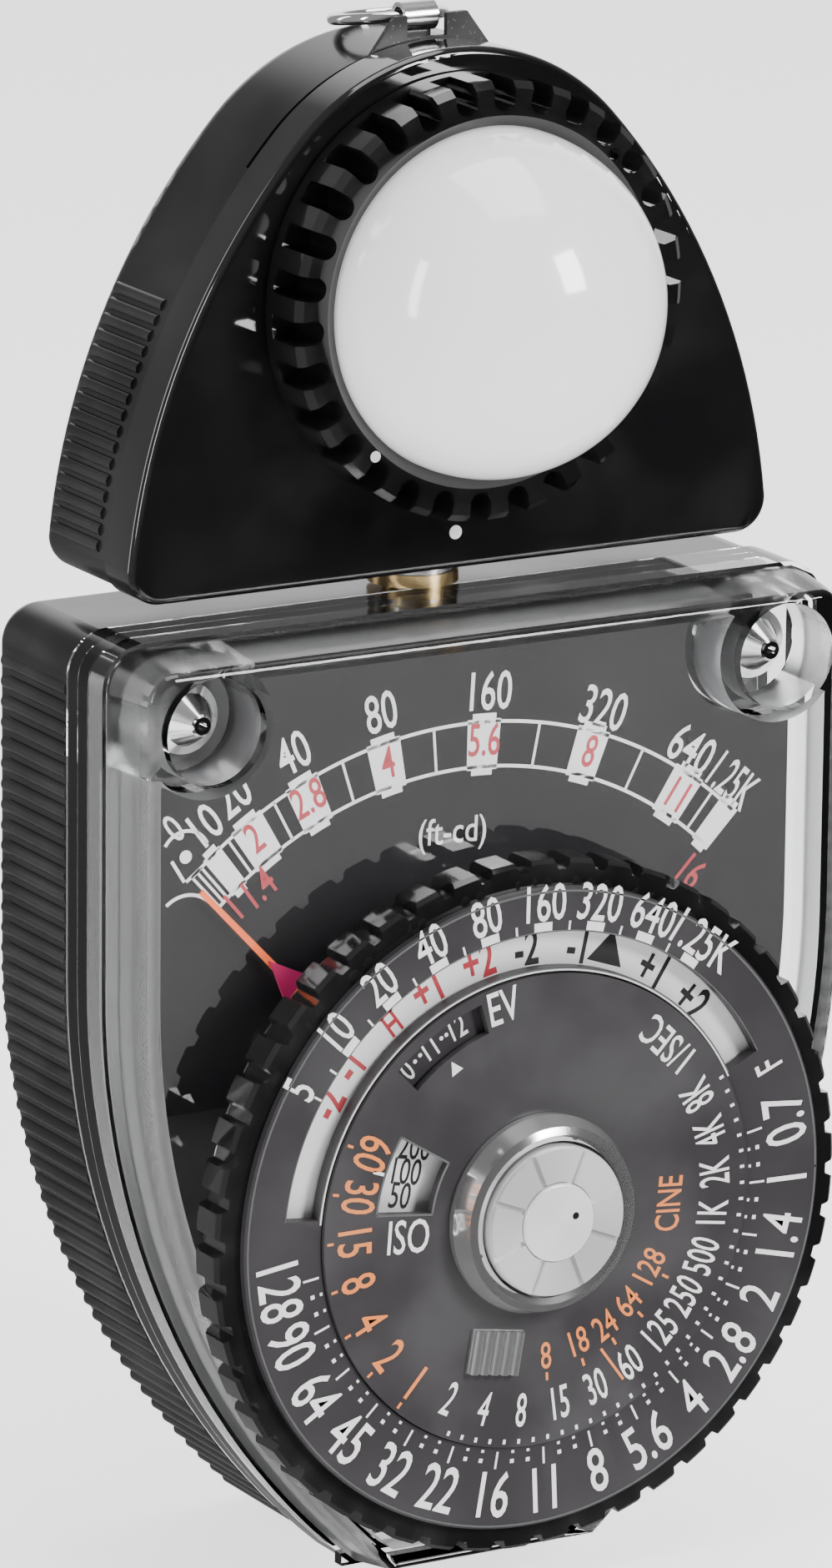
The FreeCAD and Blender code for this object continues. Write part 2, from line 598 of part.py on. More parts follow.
# ---- head ----
def head_front_shell():
    shell = head_slab(0.0, HEAD_FACE, HEAD_SEAM)
    shell = shell.makeFillet(0.6, outer_edges(shell, HEAD_FACE))
    shell = shell.cut(head_slab(HEAD_WALL, HEAD_FACE + HEAD_WALL, HEAD_SEAM + 1))
    opening = [cyl(OPENING_R, 10, 20, 0, LENS_Z)]
    opening += [sector(OPENING_R - 1, 14.0, a - 13, a + 13, 10, 20, LENS_Z) for a in BAYONET_ENTRIES]
    opening.append(post(1.6, HEAD_BOTTOM - 1, HEAD_BOTTOM + 4, 0, SWIVEL_Y))
    opening.append(cyl(0.5, HEAD_FACE - 1, HEAD_FACE + 0.3, 0, HEAD_BOTTOM + 2.7))
    return shell.cut(Part.makeCompound(opening))


def head_rib_places():
    """Centres of the ribs down one side of the head."""
    a0, a1, cx, cz, r = head_side()
    places = []
    angle = a1 + 0.9 / r
    while len(places) < 16:
        places.append((cx + (r - 0.48) * math.cos(angle), cz + (r - 0.48) * math.sin(angle)))
        angle += 1.17 / r
    return places


def head_rear_shell():
    shell = head_slab(0.25, HEAD_SEAM, HEAD_BACK)
    shell = shell.makeFillet(1.9, outer_edges(shell, HEAD_BACK))
    shell = shell.cut(head_slab(HEAD_WALL + 0.25, HEAD_SEAM - 1, HEAD_BACK - 1.6))
    ribs = [cyl(0.5, HEAD_SEAM + 1.5, HEAD_BACK - 1.9, s * x, z) for x, z in head_rib_places() for s in (1, -1)]
    rail_y = SLIDE_FRONT + SLIDE_THICK + 0.12
    inside = head_slab(0.9, HEAD_SEAM, HEAD_BACK)
    rails = [box(s * 15.3 - 0.9, s * 15.3 + 0.9, HEAD_SEAM, rail_y + 1.2, 50.0, 74.0) for s in (1, -1)]
    backing = box(-16.2, 16.2, rail_y, rail_y + 0.8, 76.6, 81.0)
    floor = box(-16.2, 16.2, HEAD_SEAM, rail_y + 1.2, 48.9, 50.0).cut(post(4.0, 40, 60, 0, SWIVEL_Y))
    posts = [cyl(2.1, HEAD_SEAM, HEAD_BACK - 1.5, s * 20.5, 49.0) for s in (1, -1)]
    inner = joined([r.common(inside) for r in rails + [backing, floor]] + posts)
    shell = shell.multiFuse(ribs + [inner])
    cuts = [box(-SLIDE_HALF - 0.25, SLIDE_HALF + 0.25, HEAD_SEAM - 1, rail_y, 50.2, 90)]
    cuts.append(post(1.6, HEAD_BOTTOM - 1, HEAD_BOTTOM + 4, 0, SWIVEL_Y))
    cuts.append(box(STRAP_X - 1.2, STRAP_X + 1.2, LUG_Y - 0.22, LUG_Y + 0.32, 76.0, 90))
    cuts += [cyl(0.9, HEAD_SEAM - 1, HEAD_BACK + 1, s * 20.5, 49.0) for s in (1, -1)]
    cuts += [cyl(1.9, HEAD_BACK - 1.0, HEAD_BACK + 1, s * 20.5, 49.0) for s in (1, -1)]
    return shell.cut(Part.makeCompound(cuts))


def head_screw(x, z):
    head = turned([(0.0, HEAD_BACK - 0.2), (1.5, HEAD_BACK - 0.2), (1.7, HEAD_BACK - 0.4), (1.7, HEAD_BACK - 1.0),
                   (0.0, HEAD_BACK - 1.0)], x, z)
    cross = [box(x - a, x + a, HEAD_BACK - 0.7, HEAD_BACK, z - b, z + b) for a, b in ((0.85, 0.17), (0.17, 0.85))]
    return head.cut(Part.makeCompound(cross)).fuse(cyl(0.88, HEAD_SEAM - 0.8, HEAD_BACK - 0.9, x, z))


def lens_ring():
    """The notched bayonet ring that holds the dome, with three lugs behind the head's face."""
    rim = turned([(DOME_R + 0.02, RING_FRONT + 0.5), (13.2, RING_FRONT), (RING_R - 0.5, RING_FRONT),
                  (RING_R, RING_FRONT + 0.5), (RING_R, HEAD_FACE - 0.3), (OPENING_R - FIT, HEAD_FACE - 0.3),
                  (OPENING_R - FIT, 14.8), (11.3, 14.8), (11.3, 9.35), (DOME_R + 0.02, 9.35)], 0, LENS_Z)
    lugs = [sector(12.5, 13.85, a - 10, a + 10, 14.05, 14.8, LENS_Z) for a in BAYONET_LOCKED]
    pockets = []
    for k in range(RING_NOTCHES):
        angle = 3.0 + 360.0 * k / RING_NOTCHES
        x, z = polar(RING_R - 1.25, angle, LENS_Z)
        pocket = cyl(0.85, 7.0, 11.2, x, z)
        slot = spun(box(RING_R - 1.25, RING_R + 1, 7.0, 11.2, LENS_Z - 0.85, LENS_Z + 0.85), angle, 0, LENS_Z)
        pockets += [pocket, slot]
    dot_x, dot_z = polar(13.65, 227.0, LENS_Z)
    pit_x, pit_z = polar(13.65, 45.0, LENS_Z)
    pockets += [cyl(0.4, 7, RING_FRONT + 0.25, dot_x, dot_z), cyl(0.42, 7, RING_FRONT + 0.5, pit_x, pit_z)]
    return joined([rim] + lugs).cut(Part.makeCompound(pockets))


def dome():
    """The opal diffusing hemisphere with a short skirt seated in the ring."""
    outer = Part.makeSphere(DOME_R, V(0, DOME_BASE, LENS_Z))
    inner = Part.makeSphere(DOME_R - 1.1, V(0, DOME_BASE, LENS_Z))
    behind = cyl(20, DOME_BASE, 40, 0, LENS_Z)
    skirt = tube(DOME_R, DOME_R - 1.1, DOME_BASE, 9.35, 0, LENS_Z)
    return outer.cut(inner).cut(behind).fuse(skirt).removeSplitter()


def ring_dot():
    x, z = polar(13.65, 227.0, LENS_Z)
    return cyl(0.4, RING_FRONT - 0.02, RING_FRONT + 0.25, x, z)


def head_dot():
    return cyl(0.5, HEAD_FACE - 0.02, HEAD_FACE + 0.3, 0, HEAD_BOTTOM + 2.7)


def high_slide():
    """The attenuating slide: a thin sheet with many small holes, and the tab that stands out of the head."""
    y0, y1 = SLIDE_FRONT, SLIDE_FRONT + SLIDE_THICK
    sheet = head_slab(0.7, y0, y1).common(box(-SLIDE_HALF, SLIDE_HALF, y0, y1, 50.5, 90))
    tab = plate([(-5.0, 78.5), (-5.0, 80.1), (-2.9, 82.9), (2.9, 82.9), (5.0, 80.1), (5.0, 78.5)], y0, y1)
    notch = box(-1.95, 1.25, 10, 20, 81.3, 90)
    holes = [cyl(0.55, 10, 20, 3.0 * i + (1.5 if j % 2 else 0.0), LENS_Z + 2.6 * j)
             for j in range(-4, 5) for i in range(-4, 5)
             if math.hypot(3.0 * i + (1.5 if j % 2 else 0.0), 2.6 * j) < 11.0]
    return joined([sheet, tab]).cut(Part.makeCompound([notch] + holes))


def strap_lug():
    """A steel strip rolled into a tube at the top, with its foot hooked under the head's wall."""
    length, half = 2.7, 1.15
    bore = STRAP_R - math.sqrt(STRAP_R ** 2 - (length / 2) ** 2) + STRAP_WIRE + FIT
    barrel = Part.makeCylinder(1.05, length, V(STRAP_X - length / 2, LUG_Y, LUG_Z), V(1, 0, 0))
    strip = box(STRAP_X - half, STRAP_X + half, LUG_Y - 0.2, LUG_Y + 0.3, 78.5, LUG_Z - 0.8)
    foot = box(STRAP_X - half, STRAP_X + half, LUG_Y - 0.2, LUG_Y + 1.9, 78.5, 79.0)
    hole = Part.makeCylinder(bore, 6, V(-4, LUG_Y, LUG_Z), V(1, 0, 0))
    return joined([barrel, strip, foot]).cut(hole)


def strap_ring():
    """A wire ring through the rolled tube, lying back over the top of the head."""
    ring = Part.makeTorus(STRAP_R, STRAP_WIRE, V(STRAP_X, LUG_Y + STRAP_R, LUG_Z), V(0, 0, 1))
    ring.rotate(V(0, LUG_Y, LUG_Z), V(1, 0, 0), -STRAP_TILT)
    return ring


def photocell():
    return cyl(11.2, 19.6, 20.4, 0, LENS_Z)


def cell_holder():
    """The tray behind the slide that holds the cell against the light opening."""
    tray = tube(12.6, 11.2 + 0.02, 18.4, 21.2, 0, LENS_Z)
    front = tube(12.6, 10.4, 18.0, 18.6, 0, LENS_Z)
    back = tube(12.6, 6.0, 20.5, 21.2, 0, LENS_Z)
    return joined([tray, front, back])


def cell_contacts():
    """Two leaf springs behind the cell."""
    leaf = plate([(-0.9, -8), (0.9, -8), (0.9, 3), (-0.9, 3)], 21.3, 21.6)
    left, right = leaf.copy(), leaf.copy()
    left.translate(V(-3, 0, LENS_Z))
    right.translate(V(3, 0, LENS_Z))
    return [left, right]


# ---- head swivel ----
def swivel_bushing():
    """The brass bearing in the top of the case."""
    flange = post(3.3, BODY_TOP, BODY_TOP + 0.9, 0, SWIVEL_Y)
    sleeve = post(2.2, BODY_TOP - 3.4, BODY_TOP, 0, SWIVEL_Y)
    return joined([flange, sleeve]).cut(post(1.5 + FIT, 30, 60, 0, SWIVEL_Y))


def swivel_washer():
    ring = post(3.2, BODY_TOP + 0.93, HEAD_BOTTOM, 0, SWIVEL_Y)
    return ring.cut(post(1.6, 30, 60, 0, SWIVEL_Y))


def swivel_shaft():
    return post(1.5, BODY_TOP - 5.4, HEAD_BOTTOM + 3.6, 0, SWIVEL_Y).cut(post(0.7, 30, 60, 0, SWIVEL_Y))


def swivel_nut():
    corners = [(2.6 * math.cos(math.radians(a)), 2.6 * math.sin(math.radians(a))) for a in range(0, 360, 60)]
    points = [V(x, SWIVEL_Y + y, HEAD_BOTTOM + 1.8) for x, y in corners]
    nut = Part.Face(Part.makePolygon(points + points[:1])).extrude(V(0, 0, 1.3))
    return nut.cut(post(1.5, 30, 60, 0, SWIVEL_Y))


def swivel_clip():
    """The retaining clip under the bushing."""
    ring = post(2.4, BODY_TOP - 4.05, BODY_TOP - 3.45, 0, SWIVEL_Y)
    ring = ring.cut(post(1.5, 30, 60, 0, SWIVEL_Y))
    return ring.cut(box(-0.7, 0.7, SWIVEL_Y - 4, SWIVEL_Y, 30, 60))


def table_blank(grow, sink):
    """The conversion plate's rounded outline at the case's back, grown by a clearance and sunk a little."""
    half, low, high = 20.0 + grow, -1.0 - grow, 31.0 + grow
    sheet = plate([(-half, low), (half, low), (half, high), (-half, high)],
                  CASE_BACK - TABLE_THICK, CASE_BACK - sink)
    corners = [e for e in sheet.Edges if e.BoundBox.YLength > TABLE_THICK / 2]
    return sheet.makeFillet(2.0, corners)


def table_plate():
    """The plain conversion plate let into the back of the case."""
    return table_blank(0.0, TABLE_SINK)


def main():
    os.makedirs("parts", exist_ok=True)
    write("body_case", body_case())
    write("clear_cover", clear_cover())
    write("scale_plate", scale_plate())
    write("movement_chassis", movement_chassis())
    write("chassis_screws", *[chassis_screw(s * x, z) for x, z in CHASSIS_SCREWS for s in (1, -1)])
    write("cover_screws", *[cover_screw(s * SCREW_X, SCREW_Z) for s in (1, -1)])
    write("table_plate", table_plate())
    write("meter_magnet", meter_magnet())
    write("iron_core", iron_core())
    write("moving_coil", moving_coil())
    write("pivot_staffs", *pivot_staffs())
    write("needle_blade", needle_blade())
    write("needle_pointer", needle_pointer())
    write("balance_weight", balance_weight())
    write("hairspring", hairspring())
    write("front_bridge", front_bridge())
    write("rear_bridge", rear_bridge())
    write("jewel_screws", *jewel_screws())
    write("zero_arm", zero_arm())
    write("zero_screw", zero_screw())
    write("dial_base", dial_base())
    write("dial_pillars", *[dial_pillar(x, z) for x, z in pillar_places()])
    write("dial_post", dial_post())
    write("index_disc", index_disc())
    write("dial_washer", dial_washer())
    write("knurled_ring", knurled_ring())
    write("outer_scale_plate", outer_scale_plate())
    write("shutter_disc", shutter_disc())
    write("iso_grip", iso_grip())
    write("button_bezel", button_bezel())
    write("button_stem", button_stem())
    write("stem_clip", stem_clip())
    write("button_face", button_face())
    write("button_cap", button_cap())
    write("button_dot", button_dot())
    write("button_spring", button_spring())
    write("brake_lever", brake_lever())
    write("brake_pin", brake_pin())
    write("head_front_shell", head_front_shell())
    write("head_rear_shell", head_rear_shell())
    write("head_screws", *[head_screw(s * 20.5, 49.0) for s in (1, -1)])
    write("head_dot", head_dot())
    write("lens_ring", lens_ring())
    write("dome", dome())
    write("ring_dot", ring_dot())
    write("high_slide", high_slide())
    write("strap_lug", strap_lug())
    write("strap_ring", strap_ring())
    write("photocell", photocell())
    write("cell_holder", cell_holder())
    write("cell_contacts", *cell_contacts())
    write("swivel_bushing", swivel_bushing())
    write("swivel_washer", swivel_washer())
    write("swivel_shaft", swivel_shaft())
    write("swivel_nut", swivel_nut())
    write("swivel_clip", swivel_clip())


main()
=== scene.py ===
"""Looks for a handheld light meter: finishes, printed scales and the studio it stands in."""

import math

import bmesh
import bpy
from mathutils import Matrix, Vector
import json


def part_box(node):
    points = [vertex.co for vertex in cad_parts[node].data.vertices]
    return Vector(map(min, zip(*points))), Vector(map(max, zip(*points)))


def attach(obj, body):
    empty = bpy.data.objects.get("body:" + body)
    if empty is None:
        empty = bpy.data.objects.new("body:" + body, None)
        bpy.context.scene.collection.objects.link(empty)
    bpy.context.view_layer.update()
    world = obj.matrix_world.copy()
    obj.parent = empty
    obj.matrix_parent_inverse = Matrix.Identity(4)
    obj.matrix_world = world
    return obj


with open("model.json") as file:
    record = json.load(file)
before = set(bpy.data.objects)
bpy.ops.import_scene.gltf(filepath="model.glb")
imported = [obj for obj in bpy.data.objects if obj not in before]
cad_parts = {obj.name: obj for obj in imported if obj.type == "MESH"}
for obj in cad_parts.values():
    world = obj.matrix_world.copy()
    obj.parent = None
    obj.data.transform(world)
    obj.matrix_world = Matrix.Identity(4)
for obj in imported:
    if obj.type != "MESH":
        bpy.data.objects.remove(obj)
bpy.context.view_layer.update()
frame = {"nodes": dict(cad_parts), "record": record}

bl_info = {
    "name": "Light Meter Finisher",
    "version": (1, 0, 0),
    "blender": (4, 5, 0),
    "location": "3D View > Sidebar > Light Meter",
    "description": "Puts the finishes, the printed scales and a small studio round a light meter",
    "category": "Object",
}

MM = 0.001
DIGIT_SHARE = 0.55        # height of a digit against the font's size
FLOOR_GLOW = 1.6          # how strongly the studio floor shines
NODES = frame["nodes"]

# Places of the print on the dials: radii in millimetres, angles in degrees from +X.
FIRST_STOP, STOP_STEP = 10.4, 12.2           # aperture numerals, a stop apart
FIRST_LIGHT, LIGHT_STEP = 148.8, 11.9        # light numerals
FIRST_TIME, FIRST_LONG_TIME = 27.4, -131.5   # shutter times, and the long ones
BAND_IN, BAND_OUT = 17.62, 20.37             # index window
BAND_START, BAND_END = 27.0, 174.0
SPEED_IN, SPEED_OUT = 8.8, 13.2              # film-speed window
SPEED_START, SPEED_END = 147.5, 173.0
SCALE_IN, SCALE_OUT = 29.0, 32.5             # needle scale, about its own centre
SCALE_START, SCALE_END = 46.0, 132.4


def middle(node):
    low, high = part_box(node)
    return [(a + b) / 2.0 for a, b in zip(low, high)]


def front(node):
    """Depth of a node's front."""
    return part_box(node)[0][1]


DIAL_X, _, DIAL_Z = middle("dial_post")


# ---- sizes and colours a user would change ----
class MeterPrint(bpy.types.PropertyGroup):
    big: bpy.props.FloatProperty(
        name="Aperture numerals", description="Height of the aperture numerals", default=2.65 * MM,
        unit="LENGTH")
    plain: bpy.props.FloatProperty(
        name="Light numerals", description="Height of the light-level numerals", default=2.2 * MM,
        unit="LENGTH")
    small: bpy.props.FloatProperty(
        name="Shutter numerals", description="Height of the shutter and index numerals", default=1.95 * MM,
        unit="LENGTH")
    ink: bpy.props.FloatProperty(
        name="Ink thickness", description="How far the print stands off its plate", default=0.02 * MM,
        unit="LENGTH")
    squeeze: bpy.props.FloatProperty(
        name="Narrowing", description="Width of the numerals against the font's own", default=0.66, min=0.4,
        max=1.2)


class MeterColours(bpy.types.PropertyGroup):
    white: bpy.props.FloatVectorProperty(
        name="White print", description="Colour of the white numerals", subtype="COLOR",
        default=(0.83, 0.82, 0.82))
    orange: bpy.props.FloatVectorProperty(
        name="Orange print", description="Colour of the cine and long-time numerals", subtype="COLOR",
        default=(0.80, 0.21, 0.035))
    red: bpy.props.FloatVectorProperty(
        name="Red print", description="Colour of the red numerals", subtype="COLOR",
        default=(0.42, 0.02, 0.035))
    plate: bpy.props.FloatVectorProperty(
        name="Plate grey", description="Colour of the grey scale plates", subtype="COLOR",
        default=(0.036, 0.033, 0.036))


class MeterStudio(bpy.types.PropertyGroup):
    azimuth: bpy.props.FloatProperty(
        name="Azimuth", description="Camera's angle round the meter", default=math.radians(-30.07),
        subtype="ANGLE")
    elevation: bpy.props.FloatProperty(
        name="Elevation", description="Camera's angle above the floor", default=math.radians(14.99),
        subtype="ANGLE")
    roll: bpy.props.FloatProperty(
        name="Roll", description="Camera's turn about its line of sight", default=math.radians(0.62),
        subtype="ANGLE")
    distance: bpy.props.FloatProperty(
        name="Distance", description="Camera's distance from the meter", default=0.65, unit="LENGTH")
    target: bpy.props.FloatVectorProperty(
        name="Target", description="Point that the camera looks at", subtype="XYZ",
        default=(-10.18 * MM, -11.45 * MM, 60.65 * MM))
    lens: bpy.props.FloatProperty(
        name="Lens", description="Focal length in millimetres", default=215.7)


# ---- selecting, shaping and placing ----
def clear_selection():
    if bpy.context.object and bpy.context.object.mode != "OBJECT":
        bpy.ops.object.mode_set(mode="OBJECT")
    bpy.ops.object.select_all(action="DESELECT")


def choose(*objects):
    clear_selection()
    for obj in objects:
        obj.select_set(True)
    bpy.context.view_layer.objects.active = objects[0]


def settle(obj, name):
    """Puts a finished piece's place into its mesh and names it."""
    choose(obj)
    bpy.ops.object.transform_apply(location=True, rotation=True, scale=True)
    obj.name = name
    obj.data.name = name
    return obj


def join_all(objects, name):
    choose(*objects)
    if len(objects) > 1:
        bpy.ops.object.join()
    return settle(bpy.context.object, name)


def finish_piece(obj, material, body):
    obj.data.materials.clear()
    obj.data.materials.append(material)
    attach(obj, body)
    return obj


def thicken(obj, thickness):
    choose(obj)
    bpy.ops.object.modifier_add(type="SOLIDIFY")
    modifier = obj.modifiers[-1]
    modifier.thickness = thickness
    modifier.offset = 0.0
    bpy.ops.object.modifier_apply(modifier=modifier.name)


def polar(r, degrees):
    a = math.radians(degrees)
    return r * math.cos(a), r * math.sin(a)


# ---- print ----
def word(text, x, z, depth, up, height, squeeze, ink, bold=0.008):
    """A printed word centred on (x, z), its top towards the direction up, in degrees from +X."""
    clear_selection()
    bpy.ops.object.text_add(location=(0, 0, 0))
    obj = bpy.context.object
    obj.data.body = text
    obj.data.align_x = "CENTER"
    obj.data.align_y = "CENTER"
    obj.data.size = height / DIGIT_SHARE
    obj.data.extrude = ink / 2.0
    obj.data.resolution_u = 3
    obj.data.offset = bold * height
    bpy.ops.object.convert(target="MESH")
    obj = bpy.context.object
    obj.scale = (squeeze, 1, 1)
    choose(obj)
    bpy.ops.object.transform_apply(location=False, rotation=False, scale=True)
    turn = Matrix.Rotation(math.radians(90.0 - up), 4, "Y") @ Matrix.Rotation(math.pi / 2, 4, "X")
    obj.matrix_world = Matrix.Translation((x, depth, z)) @ turn
    return obj


def words(rows, depth, height, props, centre_out=True, origin=(0.0, 0.0), bold=0.012, narrow=1.0):
    """Words at places given in millimetres from the dial's centre, tops away from or towards it."""
    made = []
    for text, x, z in rows:
        up = math.degrees(math.atan2(z - origin[1], x - origin[0]))
        if not centre_out:
            up += 180.0
        made.append(word(text, DIAL_X + x * MM, DIAL_Z + z * MM, depth, up, height, props.squeeze * narrow,
                         props.ink, bold))
    return made


def arc_band(r_in, r_out, start, end, depth, ink, centre):
    """A printed band between two radii, spun from one straight edge."""
    clear_selection()
    bpy.ops.mesh.primitive_plane_add(size=2, location=(0, 0, 0))
    obj = bpy.context.object
    bpy.ops.object.mode_set(mode="EDIT")
    shape = bmesh.from_edit_mesh(obj.data)
    for vert in shape.verts:
        vert.select = vert.co.x > 0
    shape.select_flush_mode()
    bmesh.update_edit_mesh(obj.data)
    bpy.ops.mesh.delete(type="VERT")
    a = math.radians(start)
    for vert, r in zip(bmesh.from_edit_mesh(obj.data).verts, (r_in, r_out)):
        vert.co = (centre[0] + r * math.cos(a), depth, centre[1] + r * math.sin(a))
    bpy.ops.mesh.select_all(action="SELECT")
    steps = max(2, int(abs(end - start) / 1.5))
    bpy.ops.mesh.spin(steps=steps, angle=math.radians(end - start), center=(centre[0], depth, centre[1]),
                      axis=(0, 1, 0))
    bpy.ops.mesh.select_all(action="SELECT")
    bpy.ops.mesh.remove_doubles(threshold=1e-7)
    bpy.ops.object.mode_set(mode="OBJECT")
    thicken(obj, ink)
    return obj


def bar(x, z, depth, along, length, width, ink):
    """A printed stroke centred on (x, z) whose length runs in the direction along, in degrees."""
    clear_selection()
    bpy.ops.mesh.primitive_cube_add(size=1, location=(0, 0, 0))
    obj = bpy.context.object
    obj.scale = (length, ink, width)
    bpy.ops.object.transform_apply(scale=True)
    turn = Matrix.Rotation(math.radians(-along), 4, "Y")
    obj.matrix_world = Matrix.Translation((x, depth, z)) @ turn
    return obj


def ticks(angles, r0, r1, width, depth, ink, centre):
    """Radial strokes: one is modelled, the rest are copies of it."""
    made = []
    for angle in angles:
        x, z = polar((r0 + r1) / 2.0, angle)
        if not made:
            stroke = bar(centre[0] + x, centre[1] + z, depth, angle, r1 - r0, width, ink)
        else:
            stroke = made[0].copy()
            stroke.data = made[0].data.copy()
            bpy.context.collection.objects.link(stroke)
            turn = Matrix.Rotation(math.radians(-angle), 4, "Y")
            stroke.matrix_world = Matrix.Translation((centre[0] + x, depth, centre[1] + z)) @ turn
        made.append(stroke)
    return made


def spot(x, z, depth, r, ink, sides=24):
    """A printed round spot."""
    clear_selection()
    bpy.ops.mesh.primitive_cylinder_add(vertices=sides, radius=r, depth=ink, location=(x, depth, z),
                                        rotation=(math.pi / 2, 0, 0))
    return bpy.context.object


def arrowhead(r, degrees, depth, height, width, props):
    """A filled triangle centred at a radius, with its point towards the rim; sizes in millimetres."""
    clear_selection()
    bpy.ops.mesh.primitive_cylinder_add(vertices=3, radius=2.0 / 3.0, depth=1.0, rotation=(math.pi / 2, 0, 0))
    obj = bpy.context.object
    bpy.ops.object.transform_apply(rotation=True)
    if max(v.co.z for v in obj.data.vertices) < 0.5:
        obj.rotation_euler = (0, math.pi, 0)
    bpy.ops.object.transform_apply(rotation=True)
    obj.scale = (width * MM / 1.155, props.ink, height * MM)
    bpy.ops.object.transform_apply(scale=True)
    x, z = polar(r * MM, degrees)
    turn = Matrix.Rotation(math.radians(90.0 - degrees), 4, "Y")
    obj.matrix_world = Matrix.Translation((DIAL_X + x, depth, DIAL_Z + z)) @ turn
    return obj


# ---- shader groups ----
def new_group(name, inputs, outputs):
    group = bpy.data.node_groups.new(name, "ShaderNodeTree")
    for label, kind, default in inputs:
        socket = group.interface.new_socket(label, in_out="INPUT", socket_type=kind)
        socket.default_value = default
    for label, kind in outputs:
        group.interface.new_socket(label, in_out="OUTPUT", socket_type=kind)
    return group, group.nodes.new("NodeGroupInput"), group.nodes.new("NodeGroupOutput")


def mix_colour(nodes, links, amount, a, b, blend="MIX"):
    node = nodes.new("ShaderNodeMix")
    node.data_type = "RGBA"
    node.blend_type = blend
    for socket, value in ((node.inputs[0], amount), (node.inputs[6], a), (node.inputs[7], b)):
        if isinstance(value, bpy.types.NodeSocket):
            links.new(value, socket)
        else:
            socket.default_value = value
    return node.outputs[2]


def math_node(nodes, links, operation, *values):
    node = nodes.new("ShaderNodeMath")
    node.operation = operation
    for socket, value in zip(node.inputs, values):
        if isinstance(value, bpy.types.NodeSocket):
            links.new(value, socket)
        else:
            socket.default_value = value
    return node.outputs[0]


def ramp(nodes, links, value, low, high, out_low=0.0, out_high=1.0):
    node = nodes.new("ShaderNodeMapRange")
    node.inputs["From Min"].default_value = low
    node.inputs["From Max"].default_value = high
    node.inputs["To Min"].default_value = out_low
    node.inputs["To Max"].default_value = out_high
    links.new(value, node.inputs["Value"])
    return node.outputs["Result"]


def along(nodes, links, place, way):
    """How far a place lies in a direction: the dot product of the two."""
    reach = math_node(nodes, links, "MULTIPLY", place.outputs["X"], way[0])
    for axis, part in zip("YZ", way[1:]):
        reach = math_node(nodes, links, "MULTIPLY_ADD", place.outputs[axis], part, reach)
    return reach


def grain_group():
    """Fine moulded grain, slow colour drift and rubbed edges for plastics, paints and prints."""
    colour, value = "NodeSocketColor", "NodeSocketFloat"
    group, given, result = new_group(
        "SurfaceGrain",
        [("Color", colour, (0.5, 0.5, 0.5, 1)), ("Worn Color", colour, (0.6, 0.6, 0.6, 1)),
         ("Grain Scale", value, 2500.0), ("Drift", value, 0.15), ("Edge Wear", value, 0.2),
         ("Roughness", value, 0.4), ("Roughness Spread", value, 0.08)],
        [("Color", colour), ("Roughness", value), ("Height", value)])
    nodes, links = group.nodes, group.links
    place = nodes.new("ShaderNodeTexCoord").outputs["Object"]
    fine = nodes.new("ShaderNodeTexNoise")
    fine.inputs["Detail"].default_value = 3.0
    links.new(place, fine.inputs["Vector"])
    links.new(given.outputs["Grain Scale"], fine.inputs["Scale"])
    slow = nodes.new("ShaderNodeTexNoise")
    slow.inputs["Scale"].default_value = 90.0
    slow.inputs["Detail"].default_value = 4.0
    links.new(place, slow.inputs["Vector"])
    edge = ramp(nodes, links, nodes.new("ShaderNodeNewGeometry").outputs["Pointiness"], 0.52, 0.62)
    broken = math_node(nodes, links, "MULTIPLY", edge, ramp(nodes, links, slow.outputs["Fac"], 0.4, 0.62))
    worn = math_node(nodes, links, "MULTIPLY", broken, given.outputs["Edge Wear"])
    shade = ramp(nodes, links, slow.outputs["Fac"], 0.3, 0.7, -0.5, 0.5)
    shade = math_node(nodes, links, "MULTIPLY_ADD", shade, given.outputs["Drift"], 1.0)
    tinted = nodes.new("ShaderNodeVectorMath")
    tinted.operation = "SCALE"
    links.new(given.outputs["Color"], tinted.inputs[0])
    links.new(shade, tinted.inputs["Scale"])
    links.new(mix_colour(nodes, links, worn, tinted.outputs[0], given.outputs["Worn Color"]),
              result.inputs["Color"])
    spread = ramp(nodes, links, slow.outputs["Fac"], 0.3, 0.7, -1.0, 1.0)
    rough = math_node(nodes, links, "MULTIPLY_ADD", spread, given.outputs["Roughness Spread"],
                      given.outputs["Roughness"])
    links.new(rough, result.inputs["Roughness"])
    links.new(fine.outputs["Fac"], result.inputs["Height"])
    return group


